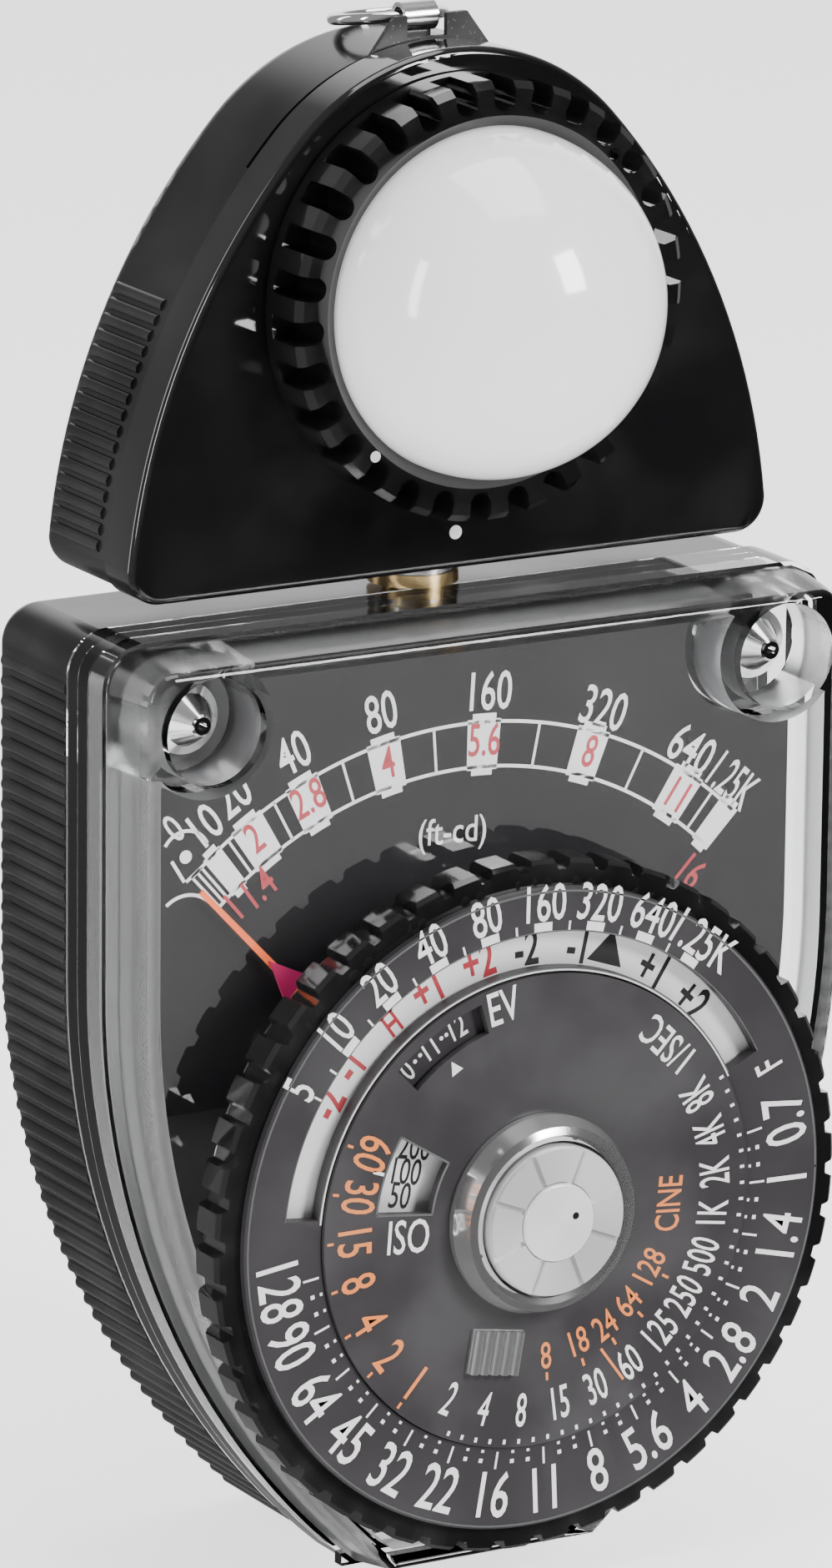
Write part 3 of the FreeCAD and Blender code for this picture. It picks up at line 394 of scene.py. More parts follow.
def brushed_group():
    """Straight brushing along X with faint smudges, for drawn and rolled metal."""
    colour, value = "NodeSocketColor", "NodeSocketFloat"
    group, given, result = new_group(
        "BrushedMetal",
        [("Color", colour, (0.6, 0.6, 0.6, 1)), ("Contrast", value, 0.2), ("Roughness", value, 0.3),
         ("Smudge", value, 0.1)],
        [("Color", colour), ("Roughness", value), ("Height", value)])
    nodes, links = group.nodes, group.links
    place = nodes.new("ShaderNodeTexCoord").outputs["Object"]
    stretch = nodes.new("ShaderNodeMapping")
    stretch.inputs["Scale"].default_value = (300.0, 9000.0, 9000.0)
    links.new(place, stretch.inputs["Vector"])
    lines = nodes.new("ShaderNodeTexNoise")
    lines.inputs["Scale"].default_value = 1.0
    links.new(stretch.outputs["Vector"], lines.inputs["Vector"])
    smudge = nodes.new("ShaderNodeTexNoise")
    smudge.inputs["Scale"].default_value = 260.0
    links.new(place, smudge.inputs["Vector"])
    shade = ramp(nodes, links, lines.outputs["Fac"], 0.3, 0.7, -0.5, 0.5)
    shade = math_node(nodes, links, "MULTIPLY_ADD", shade, given.outputs["Contrast"], 1.0)
    tinted = nodes.new("ShaderNodeVectorMath")
    tinted.operation = "SCALE"
    links.new(given.outputs["Color"], tinted.inputs[0])
    links.new(shade, tinted.inputs["Scale"])
    links.new(tinted.outputs[0], result.inputs["Color"])
    rough = math_node(nodes, links, "MULTIPLY_ADD", smudge.outputs["Fac"], given.outputs["Smudge"],
                      given.outputs["Roughness"])
    links.new(rough, result.inputs["Roughness"])
    links.new(lines.outputs["Fac"], result.inputs["Height"])
    return group


def turned_group():
    """Painted sheen of a lathe-turned face: the colour brightens in a fan round the dial's axis, standing in for
    its highlight.
    """
    colour, value = "NodeSocketColor", "NodeSocketFloat"
    group, given, result = new_group(
        "TurnedMetalPaintedSheen",
        [("Color", colour, (0.6, 0.6, 0.6, 1)), ("Painted Sheen Color", colour, (0.9, 0.9, 0.9, 1)),
         ("Roughness", value, 0.3)],
        [("Color", colour), ("Roughness", value), ("Height", value)])
    nodes, links = group.nodes, group.links
    move = nodes.new("ShaderNodeMapping")
    move.inputs["Location"].default_value = (-DIAL_X, 0.0, -DIAL_Z)
    links.new(nodes.new("ShaderNodeTexCoord").outputs["Object"], move.inputs["Vector"])
    parts = nodes.new("ShaderNodeSeparateXYZ")
    links.new(move.outputs["Vector"], parts.inputs["Vector"])
    angle = math_node(nodes, links, "ARCTAN2", parts.outputs["Z"], parts.outputs["X"])
    fan = math_node(nodes, links, "SINE", math_node(nodes, links, "MULTIPLY", angle, 2.0))
    fan = math_node(nodes, links, "MULTIPLY_ADD", fan, 0.5, 0.5)
    x2 = math_node(nodes, links, "POWER", parts.outputs["X"], 2.0)
    z2 = math_node(nodes, links, "POWER", parts.outputs["Z"], 2.0)
    radius = math_node(nodes, links, "SQRT", math_node(nodes, links, "ADD", x2, z2))
    rings = math_node(nodes, links, "SINE", math_node(nodes, links, "MULTIPLY", radius, 60000.0))
    # Painted sheen: colour mixed towards the sheen colour in a fan round the axis; the turning rings go into
    # roughness and relief.
    links.new(mix_colour(nodes, links, fan, given.outputs["Color"], given.outputs["Painted Sheen Color"]),
              result.inputs["Color"])
    links.new(math_node(nodes, links, "MULTIPLY_ADD", rings, 0.05, given.outputs["Roughness"]),
              result.inputs["Roughness"])
    links.new(rings, result.inputs["Height"])
    return group


# ---- materials ----
def blank(name):
    material = bpy.data.materials.new(name)
    material.use_nodes = True
    nodes, links = material.node_tree.nodes, material.node_tree.links
    return material, nodes, links, nodes["Principled BSDF"]


def wire_group(material, group, values, bump, bump_distance):
    """Places a group in a material and joins it to the shader."""
    nodes, links = material.node_tree.nodes, material.node_tree.links
    shader = nodes["Principled BSDF"]
    effect = nodes.new("ShaderNodeGroup")
    effect.node_tree = group
    for label, value in values.items():
        effect.inputs[label].default_value = value
    links.new(effect.outputs["Color"], shader.inputs["Base Color"])
    links.new(effect.outputs["Roughness"], shader.inputs["Roughness"])
    relief = nodes.new("ShaderNodeBump")
    relief.inputs["Strength"].default_value = bump
    relief.inputs["Distance"].default_value = bump_distance
    links.new(effect.outputs["Height"], relief.inputs["Height"])
    links.new(relief.outputs["Normal"], shader.inputs["Normal"])
    return effect


def shade(colour):
    return (colour[0], colour[1], colour[2], 1.0)


def grained(name, colour, worn, roughness, scale=2500.0, drift=0.15, wear=0.2, spread=0.06, bump=0.15,
            coat=0.0, metallic=0.0, specular=0.5):
    material, _, _, shader = blank(name)
    wire_group(material, bpy.data.node_groups["SurfaceGrain"],
               {"Color": shade(colour), "Worn Color": shade(worn), "Grain Scale": scale, "Drift": drift,
                "Edge Wear": wear, "Roughness": roughness, "Roughness Spread": spread}, bump, 0.02 * MM)
    shader.inputs["Coat Weight"].default_value = coat
    shader.inputs["Coat Roughness"].default_value = 0.03
    shader.inputs["Metallic"].default_value = metallic
    shader.inputs["Specular IOR Level"].default_value = specular
    return material


def brushed(name, colour, roughness, contrast=0.2, smudge=0.1, bump=0.1, metallic=1.0):
    material, _, _, shader = blank(name)
    wire_group(material, bpy.data.node_groups["BrushedMetal"],
               {"Color": shade(colour), "Contrast": contrast, "Roughness": roughness, "Smudge": smudge},
               bump, 0.01 * MM)
    shader.inputs["Metallic"].default_value = metallic
    return material


def turned(name, colour, painted_sheen, roughness, metallic):
    material, _, _, shader = blank(name)
    wire_group(material, bpy.data.node_groups["TurnedMetalPaintedSheen"],
               {"Color": shade(colour), "Painted Sheen Color": shade(painted_sheen), "Roughness": roughness}, 0.06, 0.004 * MM)
    shader.inputs["Metallic"].default_value = metallic
    return material


def clear_plastic(name):
    """Clear acrylic, frosted on its tapered rim in front of the step, less so along the top."""
    material, nodes, links, shader = blank(name)
    shader.inputs["Base Color"].default_value = (0.97, 0.975, 0.98, 1)
    shader.inputs["Transmission Weight"].default_value = 1.0
    shader.inputs["IOR"].default_value = 1.47
    place = nodes.new("ShaderNodeSeparateXYZ")
    links.new(nodes.new("ShaderNodeTexCoord").outputs["Object"], place.inputs["Vector"])
    facing = nodes.new("ShaderNodeSeparateXYZ")
    links.new(nodes.new("ShaderNodeNewGeometry").outputs["Normal"], facing.inputs["Vector"])
    low_y = front("clear_cover")
    ahead = ramp(nodes, links, place.outputs["Y"], low_y + 5.2 * MM, low_y + 5.4 * MM, 1.0, 0.0)
    behind_face = ramp(nodes, links, place.outputs["Y"], low_y + 1.0 * MM, low_y + 1.6 * MM)
    tilt = math_node(nodes, links, "ABSOLUTE", facing.outputs["Y"])
    sideways = ramp(nodes, links, tilt, 0.4, 0.6, 1.0, 0.0)
    below = ramp(nodes, links, place.outputs["Z"], DIAL_Z + 38 * MM, DIAL_Z + 39 * MM, 1.0, 0.6)
    frost = math_node(nodes, links, "MULTIPLY", math_node(nodes, links, "MULTIPLY", ahead, behind_face),
                      math_node(nodes, links, "MULTIPLY", sideways, below))
    ripple = nodes.new("ShaderNodeTexNoise")
    ripple.inputs["Scale"].default_value = 120.0
    links.new(nodes.new("ShaderNodeTexCoord").outputs["Object"], ripple.inputs["Vector"])
    grit = nodes.new("ShaderNodeTexNoise")
    grit.inputs["Scale"].default_value = 5000.0
    links.new(nodes.new("ShaderNodeTexCoord").outputs["Object"], grit.inputs["Vector"])
    rough = math_node(nodes, links, "MULTIPLY_ADD", frost, 0.32,
                      math_node(nodes, links, "MULTIPLY", ripple.outputs["Fac"], 0.02))
    links.new(rough, shader.inputs["Roughness"])
    pits = math_node(nodes, links, "MULTIPLY", frost, grit.outputs["Fac"])
    waves = math_node(nodes, links, "MULTIPLY", ripple.outputs["Fac"], 0.25)
    height = math_node(nodes, links, "MULTIPLY_ADD", pits, 0.5, waves)
    relief = nodes.new("ShaderNodeBump")
    relief.inputs["Strength"].default_value = 0.2
    relief.inputs["Distance"].default_value = 0.05 * MM
    links.new(height, relief.inputs["Height"])
    links.new(relief.outputs["Normal"], shader.inputs["Normal"])
    through = nodes.new("ShaderNodeBsdfTransparent")
    through.inputs["Color"].default_value = (0.93, 0.935, 0.94, 1)
    rays = nodes.new("ShaderNodeLightPath")
    mixer = nodes.new("ShaderNodeMixShader")
    links.new(rays.outputs["Is Shadow Ray"], mixer.inputs["Fac"])
    links.new(shader.outputs["BSDF"], mixer.inputs[1])
    links.new(through.outputs["BSDF"], mixer.inputs[2])
    links.new(mixer.outputs["Shader"], nodes["Material Output"].inputs["Surface"])
    return material


def opal(name):
    """Glossy milk-white plastic with a little painted glow: an emission that brightens it though it is no lamp.
    """
    material = grained(name, (0.95, 0.945, 0.93), (0.95, 0.94, 0.93), 0.14, scale=600.0, drift=0.02, wear=0.1,
                       spread=0.02, bump=0.02)
    shader = material.node_tree.nodes["Principled BSDF"]
    shader.inputs["Subsurface Weight"].default_value = 0.5
    shader.inputs["Subsurface Radius"].default_value = (1.0, 0.95, 0.9)
    shader.inputs["Subsurface Scale"].default_value = 2.0 * MM
    shader.inputs["Coat Weight"].default_value = 0.6
    shader.inputs["Coat Roughness"].default_value = 0.04
    # Painted glow: a white emission that lifts the dome's brightness; the dome gives no light of its own.
    shader.inputs["Emission Color"].default_value = (1.0, 0.99, 0.97, 1.0)
    shader.inputs["Emission Strength"].default_value = 0.32
    return material


def speckled(name):
    """Matt black paint with fine bright specks and small pits."""
    material = grained(name, (0.016, 0.016, 0.018), (0.1, 0.1, 0.1), 0.42, scale=1500.0, wear=0.7, bump=0.5)
    nodes, links = material.node_tree.nodes, material.node_tree.links
    shader = nodes["Principled BSDF"]
    cells = nodes.new("ShaderNodeTexVoronoi")
    cells.inputs["Scale"].default_value = 2600.0
    links.new(nodes.new("ShaderNodeTexCoord").outputs["Object"], cells.inputs["Vector"])
    specks = ramp(nodes, links, cells.outputs["Distance"], 0.12, 0.2, 1.0, 0.0)
    plain = shader.inputs["Base Color"].links[0].from_socket
    links.new(mix_colour(nodes, links, specks, plain, (0.16, 0.16, 0.17, 1)), shader.inputs["Base Color"])
    return material


def make_materials():
    grain_group()
    brushed_group()
    turned_group()
    colours = bpy.context.scene.meter_colours
    white, dark = tuple(colours.white), (0.02, 0.018, 0.02)
    return {
        "case_black": grained("case_black", (0.0105, 0.0105, 0.011), (0.05, 0.05, 0.05), 0.2, scale=1800.0,
                              wear=0.35, bump=0.1, specular=0.3),
        "gloss_black": grained("gloss_black", (0.006, 0.006, 0.0065), (0.06, 0.06, 0.06), 0.09, scale=700.0,
                               wear=0.25, spread=0.03, bump=0.03, coat=0.5),
        "clear_plastic": clear_plastic("clear_plastic"),
        "plate_grey": grained("plate_grey", tuple(colours.plate), (0.2, 0.2, 0.2), 0.42, drift=0.06, wear=0.15,
                              bump=0.08, specular=0.25),
        # Painted shade: a darker copy of the plate grey, 0.4 times its colour with little specular, for the
        # needle-scale plate behind the cover.
        "scale_grey": grained("scale_grey", tuple(0.4 * c for c in colours.plate), (0.05, 0.05, 0.05), 0.5,
                              drift=0.06, wear=0.1, bump=0.05, specular=0.05),
        "index_white": grained("index_white", (0.8, 0.8, 0.8), (0.6, 0.6, 0.58), 0.42, drift=0.04),
        "aluminium": brushed("aluminium", (0.62, 0.63, 0.65), 0.28),
        "steel": brushed("steel", (0.6, 0.6, 0.6), 0.16, smudge=0.12),
        "chrome": brushed("chrome", (0.84, 0.84, 0.84), 0.04, contrast=0.04, smudge=0.07, bump=0.01),
        # The second colour of each turned finish is its painted sheen colour.
        "satin_disc": turned("satin_disc", (0.62, 0.62, 0.63), (0.86, 0.86, 0.86), 0.4, 0.45),
        "satin_cap": turned("satin_cap", (0.8, 0.8, 0.8), (0.88, 0.88, 0.88), 0.3, 0.25),
        "polished_collar": brushed("polished_collar", (0.9, 0.9, 0.9), 0.08, contrast=0.03, smudge=0.06,
                                   bump=0.01, metallic=0.93),
        "bright_grip": brushed("bright_grip", (0.88, 0.88, 0.89), 0.1, contrast=0.05, bump=0.02, metallic=0.9),
        "brass": brushed("brass", (0.78, 0.56, 0.27), 0.2, contrast=0.12),
        "alnico": grained("alnico", (0.33, 0.33, 0.35), (0.5, 0.5, 0.5), 0.4, scale=900.0, metallic=1.0),
        "copper": brushed("copper", (0.78, 0.36, 0.2), 0.25),
        "needle_orange": grained("needle_orange", (0.9, 0.13, 0.025), (0.9, 0.3, 0.1), 0.35, drift=0.05),
        "needle_magenta": grained("needle_magenta", (0.56, 0.012, 0.13), (0.7, 0.1, 0.2), 0.35, drift=0.05),
        "opal": opal("opal"),
        "white_paint": grained("white_paint", (0.9, 0.9, 0.9), (0.7, 0.7, 0.7), 0.4, drift=0.03),
        "black_dot": grained("black_dot", (0.01, 0.01, 0.01), (0.05, 0.05, 0.05), 0.4),
        "speckled_black": speckled("speckled_black"),
        "selenium": grained("selenium", (0.09, 0.085, 0.1), (0.2, 0.2, 0.2), 0.3, scale=1200.0, metallic=0.6),
        "tray_plastic": grained("tray_plastic", (0.03, 0.03, 0.03), (0.08, 0.08, 0.08), 0.5),
        "bronze": brushed("bronze", (0.6, 0.4, 0.24), 0.3),
        "back_plate": grained("back_plate", (0.02, 0.02, 0.022), (0.1, 0.1, 0.1), 0.35, wear=0.3),
        "white_print": grained("white_print", white, (0.6, 0.6, 0.6), 0.45, scale=4000.0, drift=0.05),
        "orange_print": grained("orange_print", tuple(colours.orange), (0.5, 0.3, 0.2), 0.45, scale=4000.0,
                                drift=0.05),
        "red_print": grained("red_print", tuple(colours.red), (0.4, 0.2, 0.2), 0.45, scale=4000.0, drift=0.05),
        "dark_print": grained("dark_print", dark, (0.1, 0.1, 0.1), 0.45, scale=4000.0, drift=0.05),
    }


def printed(objects, name, ink, body):
    """Joins printed marks into one piece and gives it its ink and body."""
    piece = join_all(objects, name)
    finish_piece(piece, bpy.data.materials[ink], body)
    return piece


# ---- operators ----
class METER_OT_finishes(bpy.types.Operator):
    """Gives every solid of the meter its finish"""
    bl_idname = "meter.finishes"
    bl_label = "Finishes"

    def execute(self, context):
        made = make_materials()
        special = {"button_cap": "satin_cap", "iso_grip": "bright_grip", "scale_plate": "scale_grey",
                   "button_bezel": "polished_collar"}
        for row in frame["record"]["subparts"]:
            node = NODES[row["node"]]
            finish = made[special.get(row["node"], row["material_slot"])]
            if not node.material_slots:
                node.data.materials.append(finish)
            for slot in node.material_slots:
                slot.material = finish
        return {"FINISHED"}


class METER_OT_outer_dial(bpy.types.Operator):
    """Prints the aperture and light numerals on the outer dial"""
    bl_idname = "meter.outer_dial"
    bl_label = "Outer dial print"

    def execute(self, context):
        props = context.scene.meter_print
        depth = front("outer_scale_plate") - props.ink / 2.0
        centre = (DIAL_X, DIAL_Z)
        light = ["5", "10", "20", "40", "80", "160", "320", "640", "1.25K"]
        rows = [(text, *polar(22.35, FIRST_LIGHT - LIGHT_STEP * i)) for i, text in enumerate(light)]
        marks = words(rows, depth, props.plain * 0.95, props)
        stops = ["0.7", "1", "1.4", "2", "2.8", "4", "5.6", "8", "11", "16", "22", "32", "45", "64", "90",
                 "128"]
        rows = [(text, *polar(21.1, FIRST_STOP - STOP_STEP * i)) for i, text in enumerate(stops)]
        marks += words(rows, depth, props.big, props, centre_out=False)
        marks += words([("F", *polar(20.9, 22.6))], depth, props.plain * 0.8, props, centre_out=False)
        full = [FIRST_STOP - STOP_STEP * i for i in range(len(stops))]
        thirds = [a - STOP_STEP * k / 3.0 for a in full[:-1] for k in (1, 2)]
        marks += ticks(full, 17.75 * MM, 19.0 * MM, 0.16 * MM, depth, props.ink, centre)
        marks += ticks(thirds, 18.3 * MM, 18.6 * MM, 0.3 * MM, depth, props.ink, centre)
        marks += ticks(thirds, 17.65 * MM, 17.85 * MM, 0.22 * MM, depth, props.ink, centre)
        light_full = [FIRST_LIGHT - LIGHT_STEP * i for i in range(len(light))]
        light_halves = [a - LIGHT_STEP / 2.0 for a in light_full[:-1]] + light_full[:1]
        for angle in light_full[1:]:
            marks.append(arc_band(20.4 * MM, 21.1 * MM, angle - 2.0, angle + 2.0, depth, props.ink,
                                  centre))
        marks += ticks(light_halves, 20.4 * MM, 21.1 * MM, 0.16 * MM, depth, props.ink, centre)
        marks.append(arc_band(17.5 * MM, BAND_IN * MM, BAND_START - 1.0, BAND_END + 1.0, depth, props.ink,
                              centre))
        sunk = depth + 0.55 * MM
        values = [("0", -10.3, 11.6), ("11", -8.5, 12.95), ("12", -6.4, 14.1)]
        marks += words(values, sunk, 1.35 * MM, props)
        marks += [spot(DIAL_X + x * MM, DIAL_Z + z * MM, sunk, 0.16 * MM, props.ink, 10)
                  for x, z in ((-9.7, 12.2), (-9.3, 12.6), (-7.6, 13.6), (-7.2, 13.8))]
        printed(marks, "outer_dial_print", "white_print", "outer_dial")
        # The ring at 23.2 to 23.34 mm is the plate's polished edge in bright metal, partly its own colour and
        # partly a painted highlight for the light the edge catches.
        rims = [arc_band(r_in * MM, r_out * MM, start, end, depth, props.ink, centre)
                for r_in, r_out, start, end in ((23.2, 23.34, 0.0, 359.5),
                                                (BAND_IN, 17.72, BAND_START, BAND_END),
                                                (BAND_OUT, 20.45, BAND_START, BAND_END))]
        printed(rims, "dial_bright_rims", "satin_disc", "outer_dial")
        return {"FINISHED"}


class METER_OT_index_band(bpy.types.Operator):
    """Prints the correction numbers on the fixed index band and the film speeds under the windows"""
    bl_idname = "meter.index_band"
    bl_label = "Index band print"

    def execute(self, context):
        props = context.scene.meter_print
        depth = front("index_disc") - props.ink / 2.0
        red = words([("-2", -16.2, 9.8), ("-1", -14.4, 12.4), ("+1", -8.2, 17.0), ("+2", -4.2, 18.4)], depth,
                    props.small * 1.05, props, bold=0.03)
        red += words([("H", -11.1, 14.9)], depth, props.small * 0.75, props, bold=0.03)
        red.append(arrowhead(19.75, 126.7, depth, 0.9, 1.4, props))
        printed(red, "index_print_red", "red_print", "body")
        dark = words([("-2", -0.3, 18.9), ("-1", 4.0, 18.5), ("+1", 10.1, 15.9), ("+2", 13.3, 13.2)], depth,
                     props.small * 1.05, props, bold=0.03)
        dark.append(arrowhead(18.9, 70.5, depth, 2.5, 3.0, props))
        speeds = [("200", -9.2, 5.6), ("100", -10.0, 3.9), ("50", -10.4, 2.2)]
        dark += [word(text, DIAL_X + x * MM, DIAL_Z + z * MM, depth, 78.0, 1.5 * MM, props.squeeze, props.ink)
                 for text, x, z in speeds]
        printed(dark, "index_print_dark", "dark_print", "body")
        return {"FINISHED"}


class METER_OT_inner_dial(bpy.types.Operator):
    """Prints the shutter times, cine speeds and window labels on the inner dial"""
    bl_idname = "meter.inner_dial"
    bl_label = "Inner dial print"

    def execute(self, context):
        props = context.scene.meter_print
        depth = front("shutter_disc") - props.ink / 2.0
        times = ["8K", "4K", "2K", "1K", "500", "250", "125", "60", "30", "15", "8", "4", "2"]
        rows = [(text, *polar(14.75, FIRST_TIME - STOP_STEP * i)) for i, text in enumerate(times)]
        marks = words(rows, depth, props.small, props, centre_out=False, narrow=0.78)
        marks += words([("1/SEC", 10.6, 10.9)], depth, props.small * 0.9, props, centre_out=False)
        marks += words([("EV", -3.1, 15.4)], depth, props.small, props)
        marks.append(word("ISO", DIAL_X - 10.6 * MM, DIAL_Z - 0.4 * MM, depth, 86.0, props.small, props.squeeze,
                          props.ink))
        marks.append(arrowhead(13.4, 121.0, depth, 1.0, 1.0, props))
        marks += ticks([160.0], 13.4 * MM, 14.3 * MM, 0.24 * MM, depth, props.ink, (DIAL_X, DIAL_Z))
        dots = [FIRST_TIME - STOP_STEP * (i + k / 3.0) for i in range(len(times) - 1) for k in (0, 1, 2)]
        marks += ticks(dots, 16.75 * MM, 17.1 * MM, 0.22 * MM, depth, props.ink, (DIAL_X, DIAL_Z))
        printed(marks, "inner_dial_print_white", "white_print", "inner_dial")
        slow = ["1", "2", "4", "8", "15", "30", "60"]
        rows = [(text, *polar(15.05, FIRST_LONG_TIME - STOP_STEP * i)) for i, text in enumerate(slow)]
        orange = words(rows, depth, props.small * 1.1, props, centre_out=False)
        cine = [("8", 0.8, -10.9), ("18", 3.4, -10.3), ("24", 5.7, -9.4), ("64", 7.6, -7.9), ("128", 9.3, -5.6)]
        orange += words(cine, depth, props.small * 0.8, props, centre_out=False)
        orange += words([("CINE", 10.9, -1.0)], depth, props.small * 0.8, props, centre_out=False)
        orange += ticks([math.degrees(math.atan2(z, x)) for _, x, z in cine], 12.1 * MM, 12.7 * MM, 0.2 * MM,
                        depth, props.ink, (DIAL_X, DIAL_Z))
        orange.append(bar(DIAL_X + 6.3 * MM, DIAL_Z - 12.3 * MM, depth, -53.5, 3.2 * MM, 0.2 * MM, props.ink))
        slow_ticks = [FIRST_LONG_TIME - STOP_STEP * i for i in range(len(slow))]
        orange += ticks(slow_ticks, 16.6 * MM, 17.1 * MM, 0.2 * MM, depth, props.ink, (DIAL_X, DIAL_Z))
        printed(orange, "inner_dial_print_orange", "orange_print", "inner_dial")
        rims = [arc_band(r_in * MM, r_out * MM, SPEED_START, SPEED_END, depth, props.ink, (DIAL_X, DIAL_Z))
                for r_in, r_out in ((SPEED_OUT, 13.36), (8.64, SPEED_IN))]
        rims += ticks([147.6, 172.9], 8.7 * MM, 13.3 * MM, 0.16 * MM, depth, props.ink, (DIAL_X, DIAL_Z))
        printed(rims, "speed_window_rim", "satin_disc", "inner_dial")
        return {"FINISHED"}


class METER_OT_scale(bpy.types.Operator):
    """Prints the needle's scale behind the clear cover"""
    bl_idname = "meter.scale"
    bl_label = "Needle scale print"

    def execute(self, context):
        props = context.scene.meter_print
        depth = front("scale_plate") - props.ink / 2.0
        origin = (-0.4, 0.8)
        centre = (DIAL_X + origin[0] * MM, DIAL_Z + origin[1] * MM)
        light = [("10", -21.2, 28.2), ("20", -18.9, 30.2), ("40", -14.1, 32.6), ("80", -7.1, 34.7),
                 ("160", 1.6, 35.2), ("320", 11.1, 32.8), ("640", 18.5, 28.9)]
        marks = words(light, depth, props.plain, props, origin=origin)
        marks += words([("1.25K", 21.9, 26.2)], depth, props.plain, props, origin=origin, narrow=0.7)
        marks += words([("0", -23.6, 28.4)], depth, props.plain * 0.8, props, origin=origin)
        marks.append(arc_band(32.25 * MM, SCALE_OUT * MM, SCALE_START, SCALE_END, depth, props.ink, centre))
        marks.append(arc_band(SCALE_IN * MM, 29.25 * MM, SCALE_START, SCALE_END, depth, props.ink, centre))
        boxes = [122.6, 113.8, 101.6, 87.0, 70.6, 54.6]
        for angle, half in [(angle, 2.4) for angle in boxes] + [(128.5, 1.4), (46.9, 1.6)]:
            for r_in, r_out, part in ((28.9, 32.6, 1.0), (28.5, 28.9, 0.7), (32.6, 33.0, 0.7)):
                marks.append(arc_band(r_in * MM, r_out * MM, angle - half * part, angle + half * part, depth,
                                      props.ink, centre))
        lines = [(a + b) / 2.0 for a, b in zip(boxes, boxes[1:])]
        lines += [125.8, 130.6, 131.4, 132.3, 50.1]
        marks += ticks(lines, 29.1 * MM, 32.4 * MM, 0.2 * MM, depth, props.ink, centre)
        marks += self.zero_mark(DIAL_X - 22.7 * MM, DIAL_Z + 26.3 * MM, depth, props.ink)
        marks.append(word("(ft-cd)", DIAL_X - 1.2 * MM, DIAL_Z + 25.4 * MM, depth, 88.0, 1.5 * MM, 0.85,
                          props.ink))
        printed(marks, "needle_scale_print", "white_print", "body")
        inset = front("scale_plate") - props.ink * 1.6
        red = words([("2", -17.2, 26.9), ("2.8", -12.9, 29.2), ("4", -6.5, 31.0), ("5.6", 1.3, 31.7),
                     ("8", 10.0, 29.8), ("11", 17.4, 25.7), ("1", -18.8, 22.1), ("1.4", -16.9, 23.2),
                     ("16", 18.5, 19.9)], inset, props.small * 0.95, props, origin=origin)
        printed(red, "needle_scale_print_red", "red_print", "body")
        return {"FINISHED"}

    def zero_mark(self, x, z, depth, ink):
        """The dot for the needle's resting place, under an arch, over a notch and a second arch."""
        dot = spot(x, z, depth, 0.48 * MM, ink)
        arches = [arc_band(1.75 * MM, 2.0 * MM, 25.0, 150.0, depth, ink, (x, z)),
                  arc_band(2.4 * MM, 2.65 * MM, 50.0, 130.0, depth, ink, (x + 0.1 * MM, z - 5.3 * MM))]
        notch = [bar(x - 0.6 * MM, z - 1.0 * MM, depth, -58.0, 1.9 * MM, 0.25 * MM, ink),
                 bar(x + 0.6 * MM, z - 1.4 * MM, depth, 37.0, 1.4 * MM, 0.25 * MM, ink)]
        return [dot] + arches + notch


class METER_OT_back_table(bpy.types.Operator):
    """Prints a table of exposure numbers on the back plate"""
    bl_idname = "meter.back_table"
    bl_label = "Back table print"

    def execute(self, context):
        props = context.scene.meter_print
        low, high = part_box("table_plate")
        depth = high[1] + props.ink / 2.0
        margin, rows, columns = 2.0 * MM, 8, 4
        left, right = low[0] + margin, high[0] - margin
        bottom, top = low[2] + margin, high[2] - margin
        marks = [bar((left + right) / 2.0, bottom + (top - bottom) * i / rows, depth, 0.0, right - left,
                     0.15 * MM, props.ink) for i in range(rows + 1)]
        marks += [bar(left + (right - left) * i / columns, (top + bottom) / 2.0, depth, 90.0, top - bottom,
                      0.15 * MM, props.ink) for i in range(columns + 1)]
        for column in range(columns):
            for row in range(rows):
                x = left + (right - left) * (column + 0.5) / columns
                z = top - (top - bottom) * (row + 0.5) / rows
                marks.append(self.back_number(str(5 + row + (4 - column) * 2 - 2), x, z, depth, props))
        printed(marks, "back_table_print", "white_print", "body")
        return {"FINISHED"}

    def back_number(self, text, x, z, depth, props):
        obj = word(text, 0.0, 0.0, 0.0, 90.0, props.small, props.squeeze, props.ink)
        obj.matrix_world = Matrix.Translation((x, depth, z)) @ Matrix.Rotation(math.pi, 4, "Z") @ obj.matrix_world
        return obj


